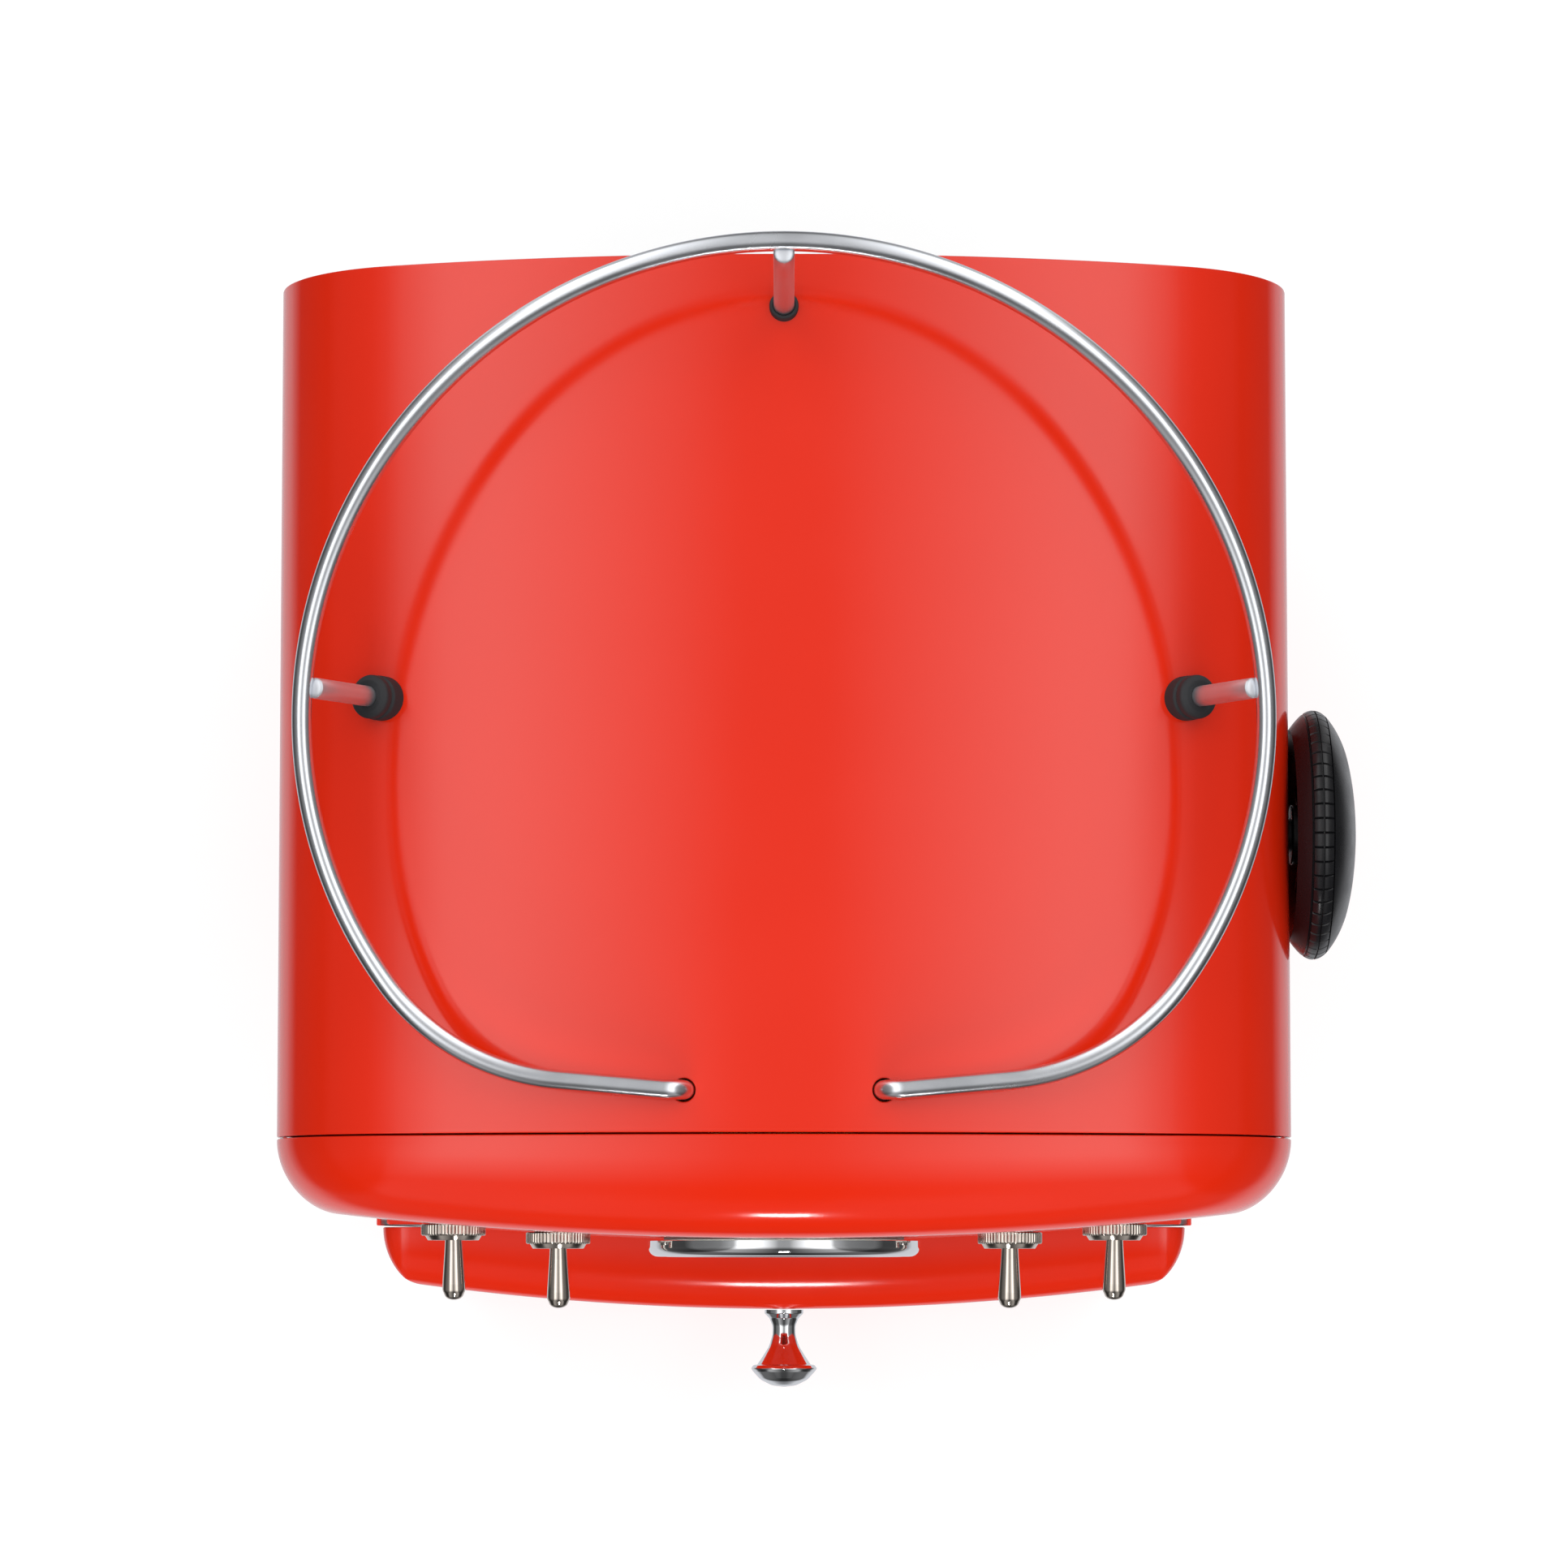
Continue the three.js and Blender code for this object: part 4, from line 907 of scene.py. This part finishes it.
# ---- Toggles ----
def make_toggles():
    ridges = 52

    def knurl(radius, distance, angle):
        cut_here = 0.25 < distance < 2.75 and radius > 7
        return radius - (0.22 * (1 - abs(sin(ridges * angle / 2))) if cut_here else 0)

    knurled = [(8, 0.35 + 0.4 * i) for i in range(6)]
    nose = rounded([
        (7.7, 2.9), (7.0, 2.95), (6.3, 4.05, 0.2), (4.7, 4.05, 0.2), (4.6, 3.6),
    ], 4)
    nut = [(6.1, 0), (7.7, 0), (8, 0.2), *knurled, (8, 2.6), *nose, (6.1, 3.6), (6.1, 0)]
    for side, x in TOGGLES.items():
        nut_y = measured(f"toggle_nut_{side}")[1][1]
        ring = turned(f"knurled_nut_{side}", nut, (x, nut_y, CONTROL_Z), FORWARD, ridges * 6, knurl)
        finish_piece(ring, NICKEL, node=f"toggle_nut_{side}", sharp=30)

        pivot = Vector((x, nut_y + 1.5, CONTROL_Z))
        tilted = Matrix.Rotation(TOGGLE_TILT, 3, "X") @ FORWARD
        tip = 20.6
        bat = rounded([
            (0, -2.6), (2.4, -1.8, 1), (2.9, 0, 1.5), (2.2, 2, 1), (2.05, 4, 1), (2.25, 8, 20),
            (2.82, tip - 4.4, 6), (2.9, tip - 2.4, 2.2), (2.1, tip - 0.5, 1.6),
            (0.9, tip - 0.02, 1.2), (0, tip),
        ], 8)
        lever = turned(f"bat_lever_{side}", bat, pivot, tilted, 64)
        finish_piece(lever, NICKEL, f"toggle_{side}", f"toggle_lever_{side}")


# ---- Steam knob and wand ----
def make_steam_knob():
    inner_x = KNOB[0][0]
    depth = KNOB[1][0] - inner_x
    r = 31.05
    tiles = 54
    band = (3.5, 8.7)  # the tiled band, by distance from the knob's inner edge
    middle = sum(band) / 2
    groove = 0.17

    def tread(radius, distance, angle):
        if radius < 29.5 or not band[0] - groove < distance < band[1] + groove:
            return radius
        across = min(abs(distance - line) for line in (*band, middle)) < groove
        between = abs((angle * tiles / TAU) % 1 - 0.5) > 0.44
        return radius - (0.5 if across or between else 0)

    hollow = rounded([
        (4.3, 0.4), (7.5, 0.4, 0.5), (7.5, depth - 5, 0.6), (23.5, depth - 7.5, 2), (25.2, 2.4, 2),
        (26.2, 0.05),
    ], 6)
    tyre = [(26.2, 0), (28.3, 1.6), (30.1, 3.4), (30.95, 5), (r, 6.3), (30.65, 7.6), (29.6, 9), (26.6, 11.2),
            (22.2, 13.3), (16.5, 14.8), (9, 15.9), (0.1, depth)]
    tyre = [(p.x, p.y) for p in smooth_path([Vector((*p, 0)) for p in tyre], 12)]
    back = [(0, depth), (0, depth - 6.6), (4.3, depth - 6.6), (4.3, 0.4)]
    wheel = turned("knob_wheel", hollow + tyre + back, (inner_x, STEAM_Y, CONTROL_Z), X, tiles * 12, tread)
    finish_piece(wheel, GLOSS_BLACK, "steam_control", "steam_knob", sharp=32)
    ribs = []
    for i in range(6):
        angle = TAU * i / 6
        along = Vector((0, cos(angle), sin(angle)))
        across = Vector((0, -sin(angle), cos(angle)))

        def rib(a, b, h, along=along, across=across):
            return Vector((inner_x + h, STEAM_Y, CONTROL_Z)) + along * b + across * a

        ribs.append(prism("rib", [(-0.9, 7), (0.9, 7), (0.9, 24.4), (-0.9, 24.4)], 3.4, depth - 5.5, rib))
    finish_piece(join("knob_ribs", *ribs), BLACK, "steam_control")


def make_wand():
    at = (WAND["x"], WAND["y"])
    nut = rounded([
        (4.4, 161), (7.4, 161, 0.5), (9, 162.8, 0.6), (9, 178.6, 1), (5.6, 178.6, 0.4), (5.6, 191, 0.5),
        (2, 191), (2, 175), (6.5, 175), (6.5, 162.6), (4.4, 162.6), (4.4, 161),
    ], 5)
    finish_piece(turned("wand_collar", nut, (*at, 0), Z, 64), CHROME, node="wand_nut")

    ball_z, ball = WAND["ball_z"], WAND["ball"]
    turns = [QUARTER * (i / 12 - 1) for i in range(25)]
    sphere = turned("wand_ball", [(ball * max(cos(t), 0), ball * sin(t)) for t in turns],
                    (*at, ball_z), Z, 48)
    bends = [(0, 0, ball_z - 3), (0, 0, 150), (4, -8, 128), (7, -18, WAND["tip_z"] + 8)]
    pipe_path = smooth_path([Vector((at[0] + x, at[1] + y, z)) for x, y, z in bends], 16)
    pipe = tube("wand_pipe", pipe_path, WAND["pipe"])
    finish_piece(join("wand_tube", sphere, pipe), CHROME, "wand", "steam_wand")

    run = Vector((2, -8, -20)).normalized()
    tip = rounded([(0, 0), (4.3, 0, 0.6), (4.3, 6, 1), (3, 9.5, 0.8), (0, 9.5)], 5)
    nozzle = turned("wand_tip", tip, pipe_path[-1] + run * 0.3, run, 48)
    finish_piece(nozzle, STEEL, "wand", "wand_nozzle")


def smooth_path(points, steps):
    """A centripetal Catmull-Rom curve through the points."""
    first = points[0] * 2 - points[1]
    last = points[-1] * 2 - points[-2]
    padded = [first, *points, last]
    path = []
    for a, b, c, d in zip(padded, padded[1:], padded[2:], padded[3:]):
        knots = [0.0]
        for p, q in ((a, b), (b, c), (c, d)):
            knots.append(knots[-1] + sqrt((q - p).length))
        for i in range(steps):
            t = knots[1] + (knots[2] - knots[1]) * i / steps
            path.append(blend_knots((a, b, c, d), knots, t))
    return path + [points[-1]]


def blend_knots(points, knots, t):
    layer = list(points)
    for span in (1, 2):
        layer = [
            (p * (knots[i + span] - t) + q * (t - knots[i])) / (knots[i + span] - knots[i])
            for i, (p, q) in enumerate(zip(layer, layer[1:]))
        ]
    first, second = layer
    return (first * (knots[2] - t) + second * (t - knots[1])) / (knots[2] - knots[1])


# ---- Group head ----
def make_group():
    bottom, top = measured("group_head")[0][2], measured("group_head")[1][2]
    height = top - bottom
    profile = rounded([
        (29.5, 0, 0.4), (34.5, 0, 0.9), (35.5, 1.2, 0.5), (35.5, height - 5, 0.3), (42.5, height - 5, 0.3),
        (42.5, height, 0.3), (0, height), (0, 16.3), (33, 16.3), (33, 4), (29.5, 4, 0.3),
    ], 4, closed=True)
    start = min(range(len(profile)), key=lambda i: (profile[i][0] > 1e-6, profile[i][1]))
    profile = profile[start:] + profile[:start]
    collar = turned("group_collar", profile, (0, GROUP_Y, bottom), Z, 128)
    notches = []
    for turn in (0, pi):
        wedge = [(0, GROUP_Y), *arc(0, GROUP_Y, 32.9, turn - 0.45, turn + 0.45, 12)]
        notches.append(upright("cut_notch", wedge, bottom - 1, bottom + 4.5))
    carve(collar, *notches)
    finish_piece(collar, CHROME, node="group_head")

    low = measured("group_gasket")[0]
    seal = rounded([(25.8, 0, 0.8), (32.6, 0, 0.8), (32.6, 4.6), (25.8, 4.6)], 4, closed=True)
    finish_piece(turned("group_seal", seal + seal[:1], (0, GROUP_Y, low[2]), Z, 96), RUBBER,
                 node="group_gasket")

    low = measured("shower_screen")[0]
    plate_z = low[2] + 1.6
    screen = turned("screen_plate", [(0, 0), (25.3, 0), (25.3, 1.4), (0, 1.4)], (0, GROUP_Y, plate_z), Z, 96)
    holes, pitch = [], 2.7
    for ring in range(2, 9):
        for i in range(ring * 6):
            angle = TAU * i / (ring * 6)
            out = pitch * ring
            spot = (out * cos(angle), GROUP_Y + out * sin(angle), plate_z - 1)
            holes.append(cylinder("hole", 0.65, spot, Z, 4, 10))
    carve(screen, join("cut_screen", *holes))
    head = rounded([(0, 0), (3.2, 0, 0.6), (4, 1, 0.4), (4, 1.7), (0, 1.7)], 4)
    screw = turned("screen_screw", head, (0, GROUP_Y, low[2]), Z, 40)
    finish_piece(join("screen_disc", screen, screw), STEEL, node="shower_screen")


# ---- Rear ----
def make_rear():
    low, high = measured("rear_panel")
    back = high[1]
    panel = lengthwise("rear_sheet", archway(SHEET + 0.4, low[2]), low[1], back)
    cutters = [
        ("cut_bay", box_outline(-66, 72, 66, 240, 10)),
        ("cut_inlet", box_outline(-73.5, 30, -46.5, 50, 2)),
        *[("cut_vent", box_outline(-61 + i * 18, 252, -47 + i * 18, 256.5, 2.1)) for i in range(7)],
    ]
    carve(panel, *[lengthwise(name, outline, low[1] - 5, back + 5) for name, outline in cutters])
    soften(panel, 0.3, 2)
    finish_piece(panel, POWDER, node="rear_panel", flat=True)

    screws = []
    for x, z in ((-101, 22), (101, 22), (-112, 200), (112, 200), (-60, 277), (60, 277)):
        head = rounded([(0, 2.4), (2.6, 2.2, 0.8), (3.6, 0.9, 0.4), (3.6, 0), (0, 0)], 4)
        screw = turned("screw", head, (x, back, z), Y, 32)
        for a, b in ((2.1, 0.35), (0.35, 2.1)):
            slot = box_outline(x - a, z - b, x + a, z + b)
            carve(screw, lengthwise("cut_cross", slot, back + 1.4, back + 4))
        screws.append(screw)
    finish_piece(join("rear_screws", *screws), STEEL)


def make_tank():
    low, high = measured("water_tank")
    wall = 2.2

    def ring(inset, z):
        return box_loop(low, high, inset, 12 - min(inset, 8), z)

    bottom, rim = low[2], high[2]
    body = skin("tank_body", [
        ring(4, bottom), ring(1.4, bottom + 0.8), ring(0.3, bottom + 2.4), ring(0, bottom + 4),
        ring(0, rim - 0.6), ring(0.6, rim), ring(wall - 0.5, rim), ring(wall, rim - 0.6),
        ring(wall, bottom + 5), ring(wall + 1, bottom + 3), ring(wall + 3, bottom + wall),
    ])
    valve_z = 92
    carve(body, cylinder("cut_valve", 4.3, (0, low[1] - 2, valve_z), Y, 8))
    finish_piece(body, TANK_CLEAR, "tank", "water_tank")

    lid_low, lid_high = measured("tank_lid")
    cover_z = rim + 0.3
    cover = skin("lid_cover", [
        ring(0, cover_z), ring(0, cover_z + 2.6), ring(0.4, cover_z + 3.3), ring(1.2, cover_z + 3.7),
    ])
    plug = skin("lid_plug", [
        ring(wall + 1, lid_low[2]), ring(wall + 0.3, lid_low[2] + 1), ring(wall + 0.3, rim + 0.5),
    ])
    grip = upright("lid_grip", box_outline(-16, 160, 16, 176, 3), cover_z + 3, lid_high[2])
    soften(grip, 1.2, 4)
    finish_piece(join("lid_shell", cover, plug, grip), BLACK, "lid", "tank_lid")


# ---- CAD nodes that keep their own shape ----
def dress(node, material):
    """Welds and rounds a CAD node with modifiers, and gives it its material."""
    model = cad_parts[node]
    mesh = model.data
    if "custom_normal" in mesh.attributes:
        mesh.attributes.remove(mesh.attributes["custom_normal"])
    mesh.polygons.foreach_set("use_smooth", [True] * len(mesh.polygons))
    mesh.materials.clear()
    mesh.materials.append(material)
    weld = model.modifiers.new("weld", "WELD")
    weld.merge_threshold = 0.01 * MM
    edge = model.modifiers.new("edges", "BEVEL")
    edge.width = 0.3 * MM
    edge.segments = 2
    edge.limit_method = "ANGLE"
    edge.angle_limit = radians(SHARP_EDGE)
    edge.harden_normals = True


def dress_inside():
    looks = {
        STEEL: ("base_plate", "chassis_frame", "heating_element"),
        BRASS: ("steam_valve_body", "boiler_shell", "boiler_base"),
        COPPER: ("steam_pipe", "wand_feed_pipe"),
        SILICONE: ("suction_hose", "pressure_hose"),
        BLACK: ("valve_stem", "boiler_thermostat", "solenoid_valve", "tank_socket", "tank_valve",
                "power_inlet", *[f"toggle_body_{side}" for side in TOGGLES]),
        POWDER: ("pump",),
    }
    for material, nodes in looks.items():
        for node in nodes:
            dress(node, material)


# ---- Studio ----
def make_floor():
    mesh = bpy.data.meshes.new("floor")
    reach = 4
    corners = [(x * reach, y * reach, 0) for x, y in ((-1, -1), (1, -1), (1, 1), (-1, 1))]
    mesh.from_pydata(corners, [], [(0, 1, 2, 3)])
    floor = add("floor", mesh)
    # The floor glows as painted light: its emission is 0.68 within 0.35 m of the floor's centre and fades to
    # 0.3 at 1 m, a painted pool of light that also lights the machine from below.
    s = Surface("pale_floor_painted_glow", roughness=0.85, specular_ior_level=0.2, emission_color=(1, 1, 1, 1))
    s.tint(s.noise(6, 2), (0.35, 0.35, 0.35), (0.37, 0.37, 0.37))
    far = s.nodes.new("ShaderNodeVectorMath")
    far.operation = "LENGTH"
    s.links.new(s.place, far.inputs[0])
    s.vary("Emission Strength", far.outputs["Value"], 0.68, 0.3, 0.35, 1.0)
    mesh.materials.append(s.material)
    floor.visible_glossy = False


def soft_light(name, at, size, power, target=(0, 0, 200), glossy=True):
    light = bpy.data.lights.new(name, "AREA")
    light.shape = "RECTANGLE"
    light.size, light.size_y = size
    light.energy = power
    lamp = add(name, light)
    lamp.location = place(at)
    lamp.rotation_euler = (place(target) - lamp.location).to_track_quat("-Z", "Y").to_euler()
    lamp.visible_glossy = glossy
    lamp.visible_camera = False


def studio_sky(world):
    """A tent of light: soft overhead, bright at both sides, dark in front and low down, white below."""
    world.use_nodes = True
    nodes, links = world.node_tree.nodes, world.node_tree.links
    axes = nodes.new("ShaderNodeSeparateXYZ")
    links.new(nodes.new("ShaderNodeTexCoord").outputs["Generated"], axes.inputs["Vector"])
    side = nodes.new("ShaderNodeMath")
    side.operation = "ABSOLUTE"
    links.new(axes.outputs["X"], side.inputs[0])
    tent = nodes.new("ShaderNodeValToRGB")
    links.new(side.outputs["Value"], tent.inputs["Fac"])
    stops = ((0.0, 0.38), (0.08, 0.40), (0.50, 2.1), (0.59, 2.15), (0.68, 0.5), (0.82, 0.24), (1.0, 0.16))
    set_stops(tent.color_ramp, stops)

    dimmer = nodes.new("ShaderNodeMath")
    dimmer.operation = "MULTIPLY"
    links.new(spread(nodes, links, axes.outputs["Y"], -0.65, -0.25, 0.2, 1.0), dimmer.inputs[0])
    links.new(spread(nodes, links, axes.outputs["Z"], -0.05, 0.12, 0.35, 1.0), dimmer.inputs[1])
    dimmed = nodes.new("ShaderNodeVectorMath")
    dimmed.operation = "SCALE"
    links.new(tent.outputs["Color"], dimmed.inputs[0])
    links.new(dimmer.outputs["Value"], dimmed.inputs["Scale"])

    table = nodes.new("ShaderNodeMixRGB")
    table.inputs["Color2"].default_value = (0.70, 0.71, 0.74, 1)
    links.new(spread(nodes, links, axes.outputs["Z"], -0.55, -0.75, 0.0, 1.0), table.inputs["Fac"])
    links.new(dimmed.outputs["Vector"], table.inputs["Color1"])
    links.new(table.outputs["Color"], nodes["Background"].inputs["Color"])


def set_stops(ramp, stops):
    while len(ramp.elements) < len(stops):
        ramp.elements.new(0.5)
    for element, (position, level) in zip(ramp.elements, stops):
        element.position = position
        element.color = (level, level, level, 1)


def make_studio():
    world = bpy.data.worlds.new("studio")
    bpy.context.scene.world = world
    studio_sky(world)
    soft_light("overhead_fill", (0, 100, 2200), (2.4, 2.4), 15, glossy=False)
    soft_light("front_fill", (0, -1700, 900), (1.6, 1.0), 18, glossy=False)
    soft_light("front_strip", (0, -600, 447), (0.06, 0.05), 0.34)
    bpy.context.scene.view_settings.view_transform = "Standard"


def make_camera():
    """Almost straight down, from just ahead of the seam, leaning back a little."""
    lens = bpy.data.cameras.new("camera")
    lens.sensor_width = 36
    lens.lens = 130.2
    camera = add("camera", lens)
    camera.location = place((0, -33.87, 1642))
    camera.rotation_euler = (radians(4.956), 0, 0)
    bpy.context.scene.camera = camera


make_camera()
make_studio()
make_floor()
make_shell()
make_head()
make_belly()
make_base()
make_splash()
make_grille()
make_feet()
make_drawer()
make_dial()
make_toggles()
make_rail()
make_steam_knob()
make_wand()
make_group()
make_rear()
make_tank()
dress_inside()
